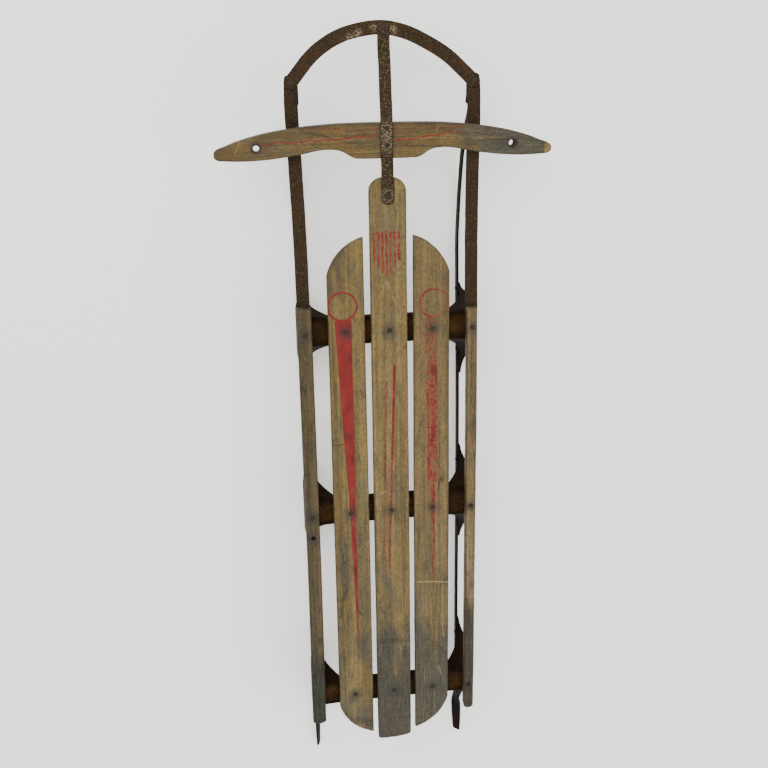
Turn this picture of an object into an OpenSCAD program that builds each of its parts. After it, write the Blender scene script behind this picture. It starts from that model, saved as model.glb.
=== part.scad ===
// Steerable wooden sled on steel runners.
// +Y is the direction of travel, +Z is up, and the soles of the runners rest on z = 0.
// Lengths along the sled are stations: the distance ahead of the middle bench.

/* [Deck] */
// Height of the deck's top face above the snow
deck_h = 130; // [110:1:170]
// Width of one deck slat
slat_w = 63.5; // [52:0.5:76]
// Thickness of a deck slat
slat_t = 12; // [9:0.5:16]
// Gap between neighbouring slats
slat_gap = 9; // [4:0.5:14]
// Station of the centre slat's front end
centre_slat_front = 597; // [500:1:640]
// Length of the centre slat behind the middle bench
centre_slat_rear = 489; // [420:1:560]
// Station of the outer slats' front corners
outer_slat_front = 500; // [420:1:560]
// Length of the outer slats behind the middle bench
outer_slat_rear = 471; // [420:1:540]
// Length that the outer slats lose at their outer corners
slat_end_cut = 64; // [40:1:80]
// Radius of the sweep across each outer slat's end
slat_end_r = 90; // [75:1:140]

/* [Benches] */
// Station of the front bench
front_bench = 338; // [280:1:400]
// Distance of the rear bench behind the middle one
rear_bench = 382; // [320:1:430]
// Width of a bench's flat top, along the sled
bench_top_w = 45; // [34:1:56]
// Thickness of the pressed sheet
bench_sheet = 2.2; // [1.6:0.1:3]
// Depth of the skirts between the legs
skirt_depth = 9; // [6:0.5:14]
// Outward bulge of each leg at mid height
leg_bulge = 6; // [0:0.5:10]

/* [Rails] */
// Distance of each rail's centreline from the sled's centreline
rail_x = 143; // [122:1:175]
// Width of the left rail
rail_left_w = 24.5; // [18:0.5:30]
// Width of the right rail
rail_right_w = 18.5; // [14:0.5:30]
// Thickness of both rails
rail_t = 18; // [14:0.5:24]
// Station of the left rail's front end
rail_left_front = 385; // [365:1:450]
// Station of the right rail's front end
rail_right_front = 373; // [365:1:450]
// Length of the rails behind the middle bench
rail_rear = 436; // [415:1:470]

/* [Runners] */
// Height of the runner strip, and width of the flat straps
strip_w = 22; // [16:0.5:28]
// Thickness of the strip
strip_t = 3.2; // [2.4:0.1:4.5]
// Length of the runners behind the middle bench
runner_tail = 585; // [520:1:640]
// Height of the runners' tips at the tail
tail_tip_h = 12; // [8:0.5:16]
// Outward lean of the tail's upper edge, in degrees
tail_twist = 20; // [0:1:30]
// Station of the rivets at the runners' noses
nose = 745; // [690:1:800]
// Distance of the nose rivets from the centreline
nose_x = 147; // [125:1:175]
// Drop from the deck's top to the top of the straps at the noses
nose_drop = 32; // [24:1:44]
// Radius of the runners' upward sweep, on the centreline
sweep_r = 289; // [200:1:340]
// Radius of the bend that levels the sweep into its tab
tab_bend_r = 60; // [40:1:90]

/* [Steering] */
// Station of the bolt that the tongue turns on
tongue_pivot = 568; // [520:1:590]
// Width of the tongue
tongue_w = 20; // [16:0.5:26]
// Distance of the bow's centre rivet ahead of the nose rivets
bow_rise = 83; // [60:1:110]
// Length of the straight stretch at each end of the bow
bow_straight = 40; // [20:1:60]
// Distance from the centreline to each tip of the steering bar
bar_reach = 274; // [220:1:330]
// Thickness of the steering bar
bar_t = 22; // [16:0.5:28]
// Station of the steering bar's middle
bar_station = 655; // [640:1:670]
// Distance of each rope hole from the centreline
rope_hole_x = 207; // [180:1:225]
// Radius of a rope hole
rope_hole_r = 5.2; // [4:0.1:7]

/* [Fasteners] */
// Radius of a rivet's shank
rivet_r = 2.5; // [2:0.1:3.2]
// Radius of a rivet's domed head
rivet_head_r = 4.6; // [3.8:0.1:6]
// Height of a rivet's domed head
rivet_head_h = 2.2; // [1.4:0.1:3]
// Radius of the steering rivets and the tongue's bolt
pivot_r = 3.2; // [2.6:0.1:4]

/* [Hidden] */
$fn = 64;
fixed_gap = 0.05;      // clearance round a shank that is held fast
running_gap = 0.12;    // clearance round a shank that something turns on
slide_gap = 0.35;      // gap between flat faces that slide over each other
nose_play = 2;         // extra radius of the nose holes, for the linkage
flex_gap = 1.5;        // gap where a runner's rigid and bending lengths meet
washer_r = 6.2;
washer_t = 1.4;
clinch_r = 3.9;
clinch_h = 1.6;

// The bounding box is centred on y = 0, so stations move back by half the sled's overhang.
bow_front = nose + bow_rise + strip_w / 2;
y_mid = -(bow_front - runner_tail) / 2;

bench_z = deck_h - slat_t;
strap_z = bench_z + slide_gap + strip_t / 2;
nose_top = deck_h - nose_drop;
nose_strap_z = nose_top - strip_t / 2;
tab_z = nose_strap_z - strip_t;
bow_z = nose_top + slide_gap + strip_t / 2;
slat_pitch = slat_w + slat_gap;
slat_rivet_x = slat_pitch + 1.5;
BENCHES = [front_bench, 0, -rear_bench];

// Feet of the benches
foot_lift = 4;                     // the foot's lower edge above the sole
leg_drop = bench_z - strip_w - 1;  // from the bench's top to just above the runner
wall_x = rail_x + strip_t / 2 + fixed_gap;
front_lean = 0.5;                  // how far the front skirt runs out for each mm down
rear_lean = 0.52;
rear_flare = 50;
foot_front = bench_top_w / 2 + front_lean * leg_drop + 6;
foot_rear = bench_top_w / 2 + rear_lean * leg_drop + rear_flare;
foot_rivets_y = [-0.62 * foot_rear, 0.5 * foot_front];
foot_rivet_r = 2;
foot_rivet_z = strip_w / 2 + 2;

// Where the runner may bend: just ahead of the front bench's feet
runner_split = front_bench + foot_front + 5;
tail_start = rear_bench + foot_rear + 4;

// Steering bar
bar_gap = 2.2;                     // the straps rise towards the rear, where the bar's corner swings
strap_bend_rear = front_bench + bench_top_w / 2 + 6;
strap_bend_front = nose - 33;
strap_fall = (strap_z - nose_strap_z) / (strap_bend_front - strap_bend_rear);
bar_front_y = 28.5;
bar_rear_y = 28;
bar_z = strap_z + strip_t / 2 + bar_gap - strap_fall * (bar_station - bar_rear_y - strap_bend_rear);
bar_top = bar_z + bar_t;
bar_rivets = [-7, 20];             // from the bar's middle
tongue_front = nose + bow_rise + strip_w / 2 - 0.5;
tongue_rear = tongue_pivot - tongue_w * 0.75;
tongue_slat_z = deck_h + slide_gap + strip_t / 2;
tongue_bar_z = bar_top + strip_t / 2;
tongue_bow_z = bow_z + strip_t + slide_gap;

WOOD = "#9a8258";
WOOD_GREY = "#7d735c";
RUST = "#4a3a28";
IRON = "#3c342c";

// ---------- small helpers ----------

// Moves children to a station on the sled.
module at_station(s) { translate([0, y_mid + s, 0]) children(); }

// A vertical hole through everything at x and a station.
module drill(x, s, r) { translate([x, y_mid + s, -1]) cylinder(r = r, h = deck_h + rail_t + 60); }

// A domed head that sits on z = 0.
module dome(r, h) {
    ball = (r * r + h * h) / (2 * h);
    intersection() {
        translate([0, 0, h - ball]) sphere(r = ball);
        cylinder(r = r, h = h);
    }
}

// A rivet whose domed head sits on z_top, with its clinched end below z_low.
module rivet(z_top, z_low, r = rivet_r, head_r = rivet_head_r, head_h = rivet_head_h) {
    translate([0, 0, z_top]) dome(head_r, head_h);
    translate([0, 0, z_low - 0.5]) cylinder(r = r, h = z_top - z_low + 1);
    translate([0, 0, z_low - clinch_h]) cylinder(r1 = r, r2 = clinch_r, h = clinch_h);
}

// A flat washer whose top face is at z.
module washer(z, hole_r) {
    translate([0, 0, z - washer_t]) difference() {
        cylinder(r = washer_r, h = washer_t);
        translate([0, 0, -1]) cylinder(r = hole_r, h = washer_t + 2);
    }
}

// A band of thickness strip_t that follows [y, z] points, as wide as w.
module band(path, w) {
    over = [for (p = path) [p[0], p[1] + strip_t / 2]];
    under = [for (i = [len(path) - 1:-1:0]) [path[i][0], path[i][1] - strip_t / 2]];
    translate([-w / 2, 0, 0]) rotate([90, 0, 90]) linear_extrude(w) polygon(concat(over, under));
}

// ---------- deck ----------

// Points along an arc of radius r from a to b, bulging to the left of the way from a to b.
function arc_between(a, b, r, n = 14) =
    let (m = (a + b) / 2,
         d = b - a,
         c = norm(d),
         q = sqrt(r * r - c * c / 4),
         o = m + [d[1], -d[0]] / c * q,
         t0 = atan2(a[1] - o[1], a[0] - o[0]),
         t1 = t0 - 2 * asin(c / 2 / r))
    [for (i = [0:n]) o + r * [cos(t0 + (t1 - t0) * i / n), sin(t0 + (t1 - t0) * i / n)]];

// Outline of the right-hand outer slat, its inner edge on x = 0.
module outer_slat_outline() {
    front = arc_between([0, outer_slat_front], [slat_w, outer_slat_front - slat_end_cut], slat_end_r);
    rear = arc_between([slat_w, slat_end_cut - outer_slat_rear], [0, -outer_slat_rear], slat_end_r);
    polygon(concat(front, rear));
}

module centre_slat_outline() {
    half = slat_w / 2;
    nose_drop_y = 18;    // length of the rounded front end
    heel_drop = 7;       // length of the rounded rear end
    power = 2.6;         // a higher power makes squarer shoulders
    steps = 24;
    front = [for (i = [0:steps]) let (x = -half + slat_w * i / steps)
        [x, centre_slat_front - nose_drop_y * (1 - pow(max(0, 1 - pow(abs(x) / half, power)), 1 / power))]];
    rear = [for (i = [0:steps]) let (x = half - slat_w * i / steps)
        [x, -centre_slat_rear + heel_drop * (1 - pow(max(0, 1 - pow(abs(x) / half, 3)), 1 / 3))]];
    polygon(concat(front, rear));
}

module outer_slat(side) {
    color(WOOD) difference() {
        translate([0, y_mid, deck_h - slat_t]) mirror([side < 0 ? 1 : 0, 0, 0])
            translate([slat_pitch - slat_w / 2, 0, 0]) linear_extrude(slat_t) outer_slat_outline();
        for (s = BENCHES) drill(side * slat_rivet_x, s, rivet_r + fixed_gap);
    }
}

module centre_slat() {
    color(WOOD) difference() {
        translate([0, y_mid, deck_h - slat_t]) linear_extrude(slat_t) centre_slat_outline();
        for (s = BENCHES) drill(0, s, rivet_r + fixed_gap);
        drill(0, tongue_pivot, pivot_r + fixed_gap);
    }
}

// ---------- rails ----------

strap_end_r = 12.5;
rebate_rear = front_bench - strap_end_r - 3;
old_hole_station = -40;
old_hole_r = 3.4;

module rounded_rectangle(w, h, r) {
    translate([0, r]) square([w, h - 2 * r]);
    translate([r, 0]) square([w - 2 * r, h]);
    for (x = [r, w - r]) for (y = [r, h - r]) translate([x, y]) circle(r = r);
}

module rail(side, w, front) {
    corner = 5;
    length = front + rail_rear;
    color(WOOD_GREY) difference() {
        translate([side * rail_x - w / 2, y_mid - rail_rear, bench_z]) linear_extrude(rail_t)
            rounded_rectangle(w, length, corner);
        // the rail is thinner at the front, so that the strap can swing below it
        translate([side * rail_x - w, y_mid + rebate_rear, bench_z - 1])
            cube([2 * w, front - rebate_rear + 1, strip_t + 2 * slide_gap + 1]);
        for (s = BENCHES) drill(side * rail_x, s, rivet_r + fixed_gap);
        if (side < 0) drill(side * rail_x, old_hole_station, old_hole_r);
    }
}

// ---------- benches ----------

// How far the leg's outer face stands from the centreline, at a depth below the bench's top.
function leg_outer(d) =
    let (u = min(1, d / (leg_drop - 8)))
    wall_x + bench_sheet + 4.6 * (1 - u) + leg_bulge * sin(180 * u);

// Inner edge of the leg's skirts at a depth.
function leg_inner(d) =
    let (v = (d - skirt_depth) / (leg_drop - skirt_depth))
    wall_x - 4 - (wall_x * 0.32 - 4) * pow(1 - v, 2.2);

// The bench seen from the front: inset moves the outer faces in, and open drops the arch.
module bench_front_view(inset = 0, open = false) {
    n = 18;
    outer = [for (i = [0:n]) let (d = leg_drop * i / n) [leg_outer(d) - inset, bench_z - max(d, inset)]];
    wall = [[leg_outer(leg_drop) - inset, open ? -5 : foot_lift]];
    inner = open ? [] : concat(
        [[wall_x, foot_lift], [wall_x, bench_z - leg_drop]],
        [for (i = [n:-1:0]) let (d = skirt_depth + (leg_drop - skirt_depth) * i / n) [leg_inner(d), bench_z - d]]);
    half = concat(outer, wall, inner);
    other = [for (i = [len(half) - 1:-1:0]) [-half[i][0], half[i][1]]];
    polygon(concat(half, other));
}

// The bench seen from the side, along x: y runs ahead and z up.
function flank_front(d) = bench_top_w / 2 + front_lean * min(d, leg_drop) + 6 * pow(min(1, d / leg_drop), 8);
function flank_rear(d) = bench_top_w / 2 + rear_lean * min(d, leg_drop) + rear_flare * pow(min(1, d / leg_drop), 3);

module bench_side_view(inset = 0) {
    n = 18;
    toe = 5;            // the foot's lower corners are cut at this size
    low = inset > 0 ? -5 : foot_lift;
    cut = inset > 0 ? 0 : toe;
    top = inset > 0 ? inset : 0;
    front = [for (i = [0:n]) let (d = top + (leg_drop - top) * i / n) [flank_front(d) - 1.12 * inset, bench_z - d]];
    rear = [for (i = [n:-1:0]) let (d = top + (leg_drop - top) * i / n) [-flank_rear(d) + 1.3 * inset, bench_z - d]];
    foot = [[flank_front(leg_drop) - 1.12 * inset, low + cut], [flank_front(leg_drop) - 1.12 * inset - cut, low],
            [-flank_rear(leg_drop) + 1.3 * inset + cut, low], [-flank_rear(leg_drop) + 1.3 * inset, low + cut]];
    polygon(concat(front, foot, rear));
}

module bench_block(inset, open) {
    reach = 2 * rail_x;
    intersection() {
        rotate([90, 0, 0]) linear_extrude(4 * reach, center = true) bench_front_view(inset, open);
        translate([-reach, 0, 0]) rotate([90, 0, 90]) linear_extrude(2 * reach) bench_side_view(inset);
    }
}

module bench(s) {
    color(IRON) at_station(s) difference() {
        bench_block(0, false);
        bench_block(bench_sheet, true);
        for (x = [-rail_x, -slat_rivet_x, 0, slat_rivet_x, rail_x])
            translate([x, 0, bench_z - 20]) cylinder(r = rivet_r + fixed_gap, h = 40);
        for (side = [-1, 1]) for (y = foot_rivets_y)
            translate([side * wall_x, y, foot_rivet_z]) rotate([0, 90, 0])
                cylinder(r = foot_rivet_r + fixed_gap, h = 20, center = true);
    }
}

// ---------- runners ----------

// Corners of a strip's section at c: across is the way of its width and n the way of its thickness.
function section_at(c, across, n, w, t) =
    [c - across * w / 2 - n * t / 2, c + across * w / 2 - n * t / 2,
     c + across * w / 2 + n * t / 2, c - across * w / 2 + n * t / 2];

// A strip through rings of [y, z, heading, twist, width, x]: heading 0 runs along +y and 90 along +z,
// and the strip stands on edge at twist 0 and lies flat at twist 90.
module twisted_strip(rings) {
    sections = [for (r = rings)
        let (up = [0, -sin(r[2]), cos(r[2])], side = [1, 0, 0])
        section_at([r[5], r[0], r[1]], cos(r[3]) * up + sin(r[3]) * side, cos(r[3]) * side - sin(r[3]) * up,
                   r[4], strip_t)];
    last = 4 * (len(rings) - 1);
    polyhedron(
        points = [for (s = sections) for (p = s) p],
        faces = concat([[0, 1, 2, 3]], [[last + 3, last + 2, last + 1, last]],
            [for (i = [0:len(rings) - 2]) for (k = [0:3]) let (a = 4 * i + k, b = 4 * i + (k + 1) % 4)
                each [[a, a + 4, b + 4], [a, b + 4, b]]]),
        convexity = 6);
}

// The sweep turns up and the bend levels it out again, so their angle follows from the rise.
sweep_rise = tab_z - strip_w / 2;
sweep_angle = acos(1 - sweep_rise / (sweep_r + tab_bend_r));
tab_start = nose - 20;
tab_end = nose + 12;
sweep_start = tab_start - (sweep_r + tab_bend_r) * sin(sweep_angle);

function smooth(u) = let (v = max(0, min(1, u))) v * v * (3 - 2 * v);

// The strip leans out from the rails' line to the noses along its sweep.
function lean(y) = (nose_x - rail_x) * smooth((y - sweep_start) / (tab_start - sweep_start));

function sweep_ring(a) =
    let (y = sweep_start + sweep_r * sin(a))
    [y, strip_w / 2 + sweep_r * (1 - cos(a)), a, 90 * smooth((a / sweep_angle - 0.8) / 0.5), strip_w, lean(y)];

function bend_ring(a) =
    let (y = tab_start - tab_bend_r * sin(a))
    [y, tab_z - tab_bend_r * (1 - cos(a)), a,
     90 * smooth((0.2 + 0.5 * (1 - a / sweep_angle)) / 0.5), strip_w, lean(y)];

// The bending length of a runner, ahead of the front bench.
module runner_front(side) {
    arc_steps = 14;
    bend_steps = 8;
    rings = concat(
        [[runner_split + flex_gap, strip_w / 2, 0, 0, strip_w, 0]],
        [for (i = [0:arc_steps]) sweep_ring(sweep_angle * i / arc_steps)],
        [for (i = [1:bend_steps]) bend_ring(sweep_angle * (1 - i / bend_steps))],
        [[tab_end, tab_z, 0, 90, strip_w, nose_x - rail_x]]);
    color(RUST) difference() {
        translate([side * rail_x, y_mid, 0]) mirror([side < 0 ? 1 : 0, 0, 0]) twisted_strip(rings);
        drill(side * nose_x, nose, pivot_r + nose_play);
    }
}

// The rigid length of a runner, riveted to the benches' feet.
module runner(side) {
    tail_steps = 8;
    tail_rings = [for (i = [0:tail_steps])
        let (u = i / tail_steps, h = strip_w + (tail_tip_h - strip_w) * u * u)
        [-runner_tail + (runner_tail - tail_start) * (1 - u), h / 2 * cos(tail_twist * smooth(u))
            + strip_t / 2 * sin(tail_twist * smooth(u)), 0, tail_twist * smooth(u), h, 0]];
    straight = [[-tail_start, strip_w / 2, 0, 0, strip_w, 0], [runner_split, strip_w / 2, 0, 0, strip_w, 0]];
    tail_first = [for (i = [tail_steps:-1:1]) tail_rings[i]];
    color(RUST) difference() {
        translate([side * rail_x, y_mid, 0]) mirror([side < 0 ? 1 : 0, 0, 0])
            twisted_strip(concat(tail_first, straight));
        for (s = BENCHES) for (y = foot_rivets_y)
            translate([side * rail_x, y_mid + s + y, foot_rivet_z]) rotate([0, 90, 0])
                cylinder(r = foot_rivet_r + fixed_gap, h = 20, center = true);
    }
}

// A flat strap from below a rail's front end to the nose of its runner.
module strap(side) {
    reach = norm([nose_x - rail_x, nose - front_bench]);
    turn = atan2(rail_x - nose_x, nose - front_bench);
    path = [[-strap_end_r - 1, strap_z], [strap_bend_rear - front_bench, strap_z],
            [strap_bend_front - front_bench, nose_strap_z], [reach + 13, nose_strap_z]];
    color(RUST) difference() {
        translate([side * rail_x, y_mid + front_bench, 0]) rotate(side * turn) intersection() {
            band(path, strip_w);
            linear_extrude(deck_h + rail_t) union() {
                circle(r = strap_end_r);
                translate([-strip_w / 2, 0]) square([strip_w, reach + 12]);
            }
        }
        drill(side * rail_x, front_bench, rivet_r + running_gap);
        drill(side * nose_x, nose, pivot_r + nose_play);
    }
}

// ---------- steering ----------

// The bow's arc is tangent to the straight stretches that end at the nose rivets.
bow_r = (nose_x * nose_x + bow_rise * bow_rise - bow_straight * bow_straight) / (2 * bow_rise);
bow_centre = nose + bow_rise - bow_r;
bow_tangent = atan2(nose - bow_centre, nose_x) + atan2(bow_straight, bow_r);

module bow_outline() {
    far = 3 * bow_r;
    tangent_point = bow_r * [cos(bow_tangent), sin(bow_tangent)];
    intersection() {
        difference() {
            circle(r = bow_r + strip_w / 2, $fn = 128);
            circle(r = bow_r - strip_w / 2, $fn = 128);
        }
        polygon([[0, 0], far * [cos(bow_tangent), sin(bow_tangent)], [far, far], [-far, far],
                 far * [-cos(bow_tangent), sin(bow_tangent)]]);
    }
    for (side = [-1, 1]) {
        end = [side * nose_x, nose - bow_centre];
        start = [side * tangent_point[0], tangent_point[1]];
        turn = atan2(end[1] - start[1], end[0] - start[0]);
        translate(start) rotate(turn) translate([-0.5, -strip_w / 2]) square([bow_straight + 0.5, strip_w]);
        translate(end) circle(r = strip_w / 2);
    }
}

module bumper_bow() {
    color(RUST) difference() {
        translate([0, y_mid + bow_centre, bow_z - strip_t / 2]) linear_extrude(strip_t) bow_outline();
        for (side = [-1, 1]) drill(side * nose_x, nose, pivot_r + fixed_gap);
        drill(0, nose + bow_rise, pivot_r + fixed_gap);
    }
}

module steering_tongue() {
    path = [[tongue_rear - 1, tongue_slat_z], [centre_slat_front + 2, tongue_slat_z],
            [bar_station - bar_rear_y - 2, tongue_bar_z], [bar_station + bar_front_y + 6, tongue_bar_z],
            [nose + bow_rise - strip_w / 2 - 6, tongue_bow_z], [tongue_front + 1, tongue_bow_z]];
    corner = 3;
    color(RUST) difference() {
        translate([0, y_mid, 0]) intersection() {
            band(path, tongue_w);
            linear_extrude(deck_h + rail_t) union() {
                translate([0, tongue_rear + tongue_w / 2]) circle(r = tongue_w / 2);
                translate([-tongue_w / 2, tongue_rear + tongue_w / 2])
                    square([tongue_w, tongue_front - corner - tongue_rear - tongue_w / 2]);
                translate([-tongue_w / 2 + corner, tongue_front - 2 * corner])
                    square([tongue_w - 2 * corner, 2 * corner]);
                for (side = [-1, 1]) translate([side * (tongue_w / 2 - corner), tongue_front - corner])
                    circle(r = corner);
            }
        }
        drill(0, tongue_pivot, pivot_r + running_gap);
        for (y = bar_rivets) drill(0, bar_station + y, rivet_r + fixed_gap);
        drill(0, nose + bow_rise, pivot_r + running_gap);
    }
}

// The bar seen from above: a long bow with a deeper middle for the rivets.
module bar_outline() {
    tip_r = 9.5;
    tip_y = -16.5;
    waist = 66;         // where the deep middle runs out into the arms
    steps = 40;
    reach = bar_reach - tip_r;
    function bar_front(x) = bar_front_y + (tip_y + tip_r - bar_front_y) * pow(abs(x) / reach, 2.7);
    function bar_rear(x) =
        let (a = abs(x), arm = -17 - 11 * smooth((a - 70) / (reach - 130)) + 2 * smooth((a - 200) / (reach - 200)))
        a < waist ? -bar_rear_y + (bar_rear_y - 17) * smooth((a - 44) / (waist - 44)) : arm;
    ahead = [for (i = [0:steps]) let (x = -reach + 2 * reach * i / steps) [x, bar_front(x)]];
    behind = [for (i = [0:steps]) let (x = reach - 2 * reach * i / steps) [x, bar_rear(x)]];
    tip = [for (a = [80:-20:-80]) tip_r * [cos(a), sin(a)]];
    right_tip = [for (p = tip) [reach + p[0], tip_y + p[1]]];
    left_tip = [for (p = tip) [-reach - p[0], tip_y - p[1]]];
    polygon(concat(ahead, right_tip, behind, left_tip));
}

module steering_bar() {
    mouth_r = rope_hole_r + 3;
    mouth_h = 3;
    color(WOOD) difference() {
        translate([0, y_mid + bar_station, bar_z]) linear_extrude(bar_t) bar_outline();
        for (side = [-1, 1]) {
            drill(side * rope_hole_x, bar_station - 8.5, rope_hole_r);
            translate([side * rope_hole_x, y_mid + bar_station - 8.5, bar_top - mouth_h])
                cylinder(r1 = rope_hole_r, r2 = mouth_r, h = mouth_h + 0.01);
        }
        for (y = bar_rivets) drill(0, bar_station + y, rivet_r + fixed_gap);
    }
}

// ---------- fasteners ----------

module bar_rivets() {
    color(IRON) for (y = bar_rivets) at_station(bar_station + y)
        rivet(tongue_bar_z + strip_t / 2, bar_z - washer_t);
}

module bar_rivet_washers() {
    color(IRON) for (y = bar_rivets) at_station(bar_station + y) washer(bar_z, rivet_r + fixed_gap);
}

module tongue_pivot_bolt() {
    color(IRON) at_station(tongue_pivot)
        rivet(tongue_slat_z + strip_t / 2 + slide_gap, deck_h - slat_t - washer_t - 4,
              r = pivot_r, head_r = 6.2, head_h = 2.8);
}

module tongue_pivot_washer() {
    color(IRON) at_station(tongue_pivot) washer(deck_h - slat_t, pivot_r + fixed_gap);
}

module tongue_pivot_nut() {
    across_flats = 11;
    color(IRON) at_station(tongue_pivot) translate([0, 0, deck_h - slat_t - washer_t - 4]) difference() {
        cylinder(d = across_flats / cos(30), h = 4, $fn = 6);
        translate([0, 0, -1]) cylinder(r = pivot_r + fixed_gap, h = 6);
    }
}

module bow_centre_rivet() {
    color(IRON) at_station(nose + bow_rise)
        rivet(tongue_bow_z + strip_t / 2 + slide_gap, bow_z - strip_t / 2, r = pivot_r, head_r = 5.6, head_h = 1.6);
}

module nose_rivet(side) {
    color(IRON) translate([side * nose_x, 0, 0]) at_station(nose) {
        rivet(bow_z + strip_t / 2, tab_z - strip_t / 2 - slide_gap - washer_t, r = pivot_r, head_r = 6, head_h = 2.4);
        difference() {
            translate([0, 0, tab_z - strip_t / 2 - slide_gap - washer_t]) cylinder(r = 8, h = washer_t);
            translate([0, 0, tab_z - 20]) cylinder(r = pivot_r - 0.5, h = 40);
        }
    }
}

module slat_rivets() {
    color(IRON) for (s = BENCHES) for (x = [-slat_rivet_x, 0, slat_rivet_x])
        translate([x, 0, 0]) at_station(s) rivet(deck_h, bench_z - bench_sheet - washer_t);
}

module slat_rivet_washers() {
    color(IRON) for (s = BENCHES) for (x = [-slat_rivet_x, 0, slat_rivet_x])
        translate([x, 0, 0]) at_station(s) washer(bench_z - bench_sheet, rivet_r + fixed_gap);
}

module rail_rivets() {
    color(IRON) for (s = [0, -rear_bench]) for (side = [-1, 1])
        translate([side * rail_x, 0, 0]) at_station(s) rivet(bench_z + rail_t, bench_z - bench_sheet - washer_t);
}

module rail_rivet_washers() {
    color(IRON) for (s = BENCHES) for (side = [-1, 1])
        translate([side * rail_x, 0, 0]) at_station(s) washer(bench_z - bench_sheet, rivet_r + fixed_gap);
}

module strap_pivot(side) {
    color(IRON) translate([side * rail_x, 0, 0]) at_station(front_bench)
        rivet(bench_z + rail_t, bench_z - bench_sheet - washer_t);
}

// Rivets through each foot and its runner, heads outside.
module foot_rivets() {
    outside = strip_t / 2 + bench_sheet + fixed_gap;
    color(IRON) for (s = BENCHES) for (side = [-1, 1]) for (y = foot_rivets_y)
        translate([side * rail_x, y_mid + s + y, foot_rivet_z]) mirror([side < 0 ? 1 : 0, 0, 0])
            rotate([0, 90, 0]) {
                translate([0, 0, outside]) dome(3.6, 1.7);
                translate([0, 0, -strip_t / 2 - 0.5]) cylinder(r = foot_rivet_r, h = outside + strip_t / 2 + 1);
                translate([0, 0, -strip_t / 2 - 1.2]) cylinder(r1 = foot_rivet_r, r2 = 3, h = 1.2);
            }
}

outer_slat(-1);  // slat_left
centre_slat();  // slat_centre
outer_slat(1);  // slat_right
rail(-1, rail_left_w, rail_left_front);  // rail_left
rail(1, rail_right_w, rail_right_front);  // rail_right
bench(front_bench);  // bench_front
bench(0);  // bench_middle
bench(-rear_bench);  // bench_rear
runner(-1);  // runner_left
runner(1);  // runner_right
runner_front(-1);  // runner_front_left
runner_front(1);  // runner_front_right
strap(-1);  // strap_left
strap(1);  // strap_right
bumper_bow();
steering_tongue();
steering_bar();
bar_rivets();
bar_rivet_washers();
tongue_pivot_bolt();
tongue_pivot_nut();
tongue_pivot_washer();
bow_centre_rivet();
nose_rivet(-1);  // nose_rivet_left
nose_rivet(1);  // nose_rivet_right
slat_rivets();
slat_rivet_washers();
rail_rivets();
rail_rivet_washers();
strap_pivot(-1);  // strap_pivot_left
strap_pivot(1);  // strap_pivot_right
foot_rivets();
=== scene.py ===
import math
from functools import partial
import bpy
import numpy as np
from mathutils import Matrix, Vector


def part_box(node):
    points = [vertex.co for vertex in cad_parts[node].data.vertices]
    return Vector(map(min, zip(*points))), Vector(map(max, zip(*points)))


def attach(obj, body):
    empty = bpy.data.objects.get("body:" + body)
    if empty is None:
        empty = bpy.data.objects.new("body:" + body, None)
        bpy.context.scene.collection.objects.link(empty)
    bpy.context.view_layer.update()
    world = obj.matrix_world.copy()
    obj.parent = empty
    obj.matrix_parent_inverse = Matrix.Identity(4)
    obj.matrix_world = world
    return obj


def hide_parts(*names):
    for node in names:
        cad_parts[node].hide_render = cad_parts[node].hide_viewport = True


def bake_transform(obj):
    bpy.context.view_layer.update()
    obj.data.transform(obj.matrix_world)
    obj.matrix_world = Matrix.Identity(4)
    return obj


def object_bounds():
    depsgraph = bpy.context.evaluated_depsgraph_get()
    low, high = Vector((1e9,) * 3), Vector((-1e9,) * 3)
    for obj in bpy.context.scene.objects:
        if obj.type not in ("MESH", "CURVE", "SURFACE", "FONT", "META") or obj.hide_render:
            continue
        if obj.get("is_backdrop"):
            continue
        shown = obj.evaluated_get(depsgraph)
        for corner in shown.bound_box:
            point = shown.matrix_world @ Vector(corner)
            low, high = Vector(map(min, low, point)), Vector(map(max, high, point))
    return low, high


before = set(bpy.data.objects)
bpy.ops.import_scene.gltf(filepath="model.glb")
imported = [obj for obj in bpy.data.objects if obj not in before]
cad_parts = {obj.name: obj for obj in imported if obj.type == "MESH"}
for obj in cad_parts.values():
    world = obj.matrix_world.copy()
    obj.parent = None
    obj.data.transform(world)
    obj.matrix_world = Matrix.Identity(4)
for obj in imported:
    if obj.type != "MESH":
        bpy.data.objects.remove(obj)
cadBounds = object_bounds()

mm = 0.001


def nodeBox(node):
    # A CAD node's lowest corner, highest corner and centre in mm, to a thousandth.
    low, high = (np.round(np.array(corner) / mm, 3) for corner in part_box(node))
    return low, high, np.round((low + high) / 2, 3)


# Shapes are worked out in millimetres, in the model's own frame: +y ahead, +z up.
# Stations are distances ahead of the middle bench, and yMid takes one to y.
benches = ("bench_front", "bench_middle", "bench_rear")
benchStations = [float(nodeBox(bench)[0][1] - nodeBox("bench_middle")[0][1]) for bench in benches]
yMid = float(nodeBox("strap_pivot_left")[2][1]) - benchStations[0]
deckTop = float(nodeBox("slat_centre")[1][2])
benchTop = float(nodeBox("bench_middle")[1][2])
railX = float(nodeBox("rail_right")[2][0])
stripWidth = float(nodeBox("runner_right")[1][2])
stripThick = round(float(nodeBox("bumper_bow")[1][2] - nodeBox("bumper_bow")[0][2]), 3)
noseX = float(nodeBox("runner_front_right")[1][0]) - stripWidth / 2
noseStation = float(nodeBox("nose_rivet_right")[2][1]) - yMid
bowStation = float(nodeBox("bow_centre_rivet")[2][1]) - yMid
boltStation = float(nodeBox("tongue_pivot_bolt")[2][1]) - yMid


def smoothStep(t):
    # 3t^2 - 2t^3, from 0 to 1
    t = np.clip(t, 0, 1)
    return t * t * (3 - 2 * t)


scramble = np.array([374761393, 668265263, 974634777])      # large primes, one for each axis


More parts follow.
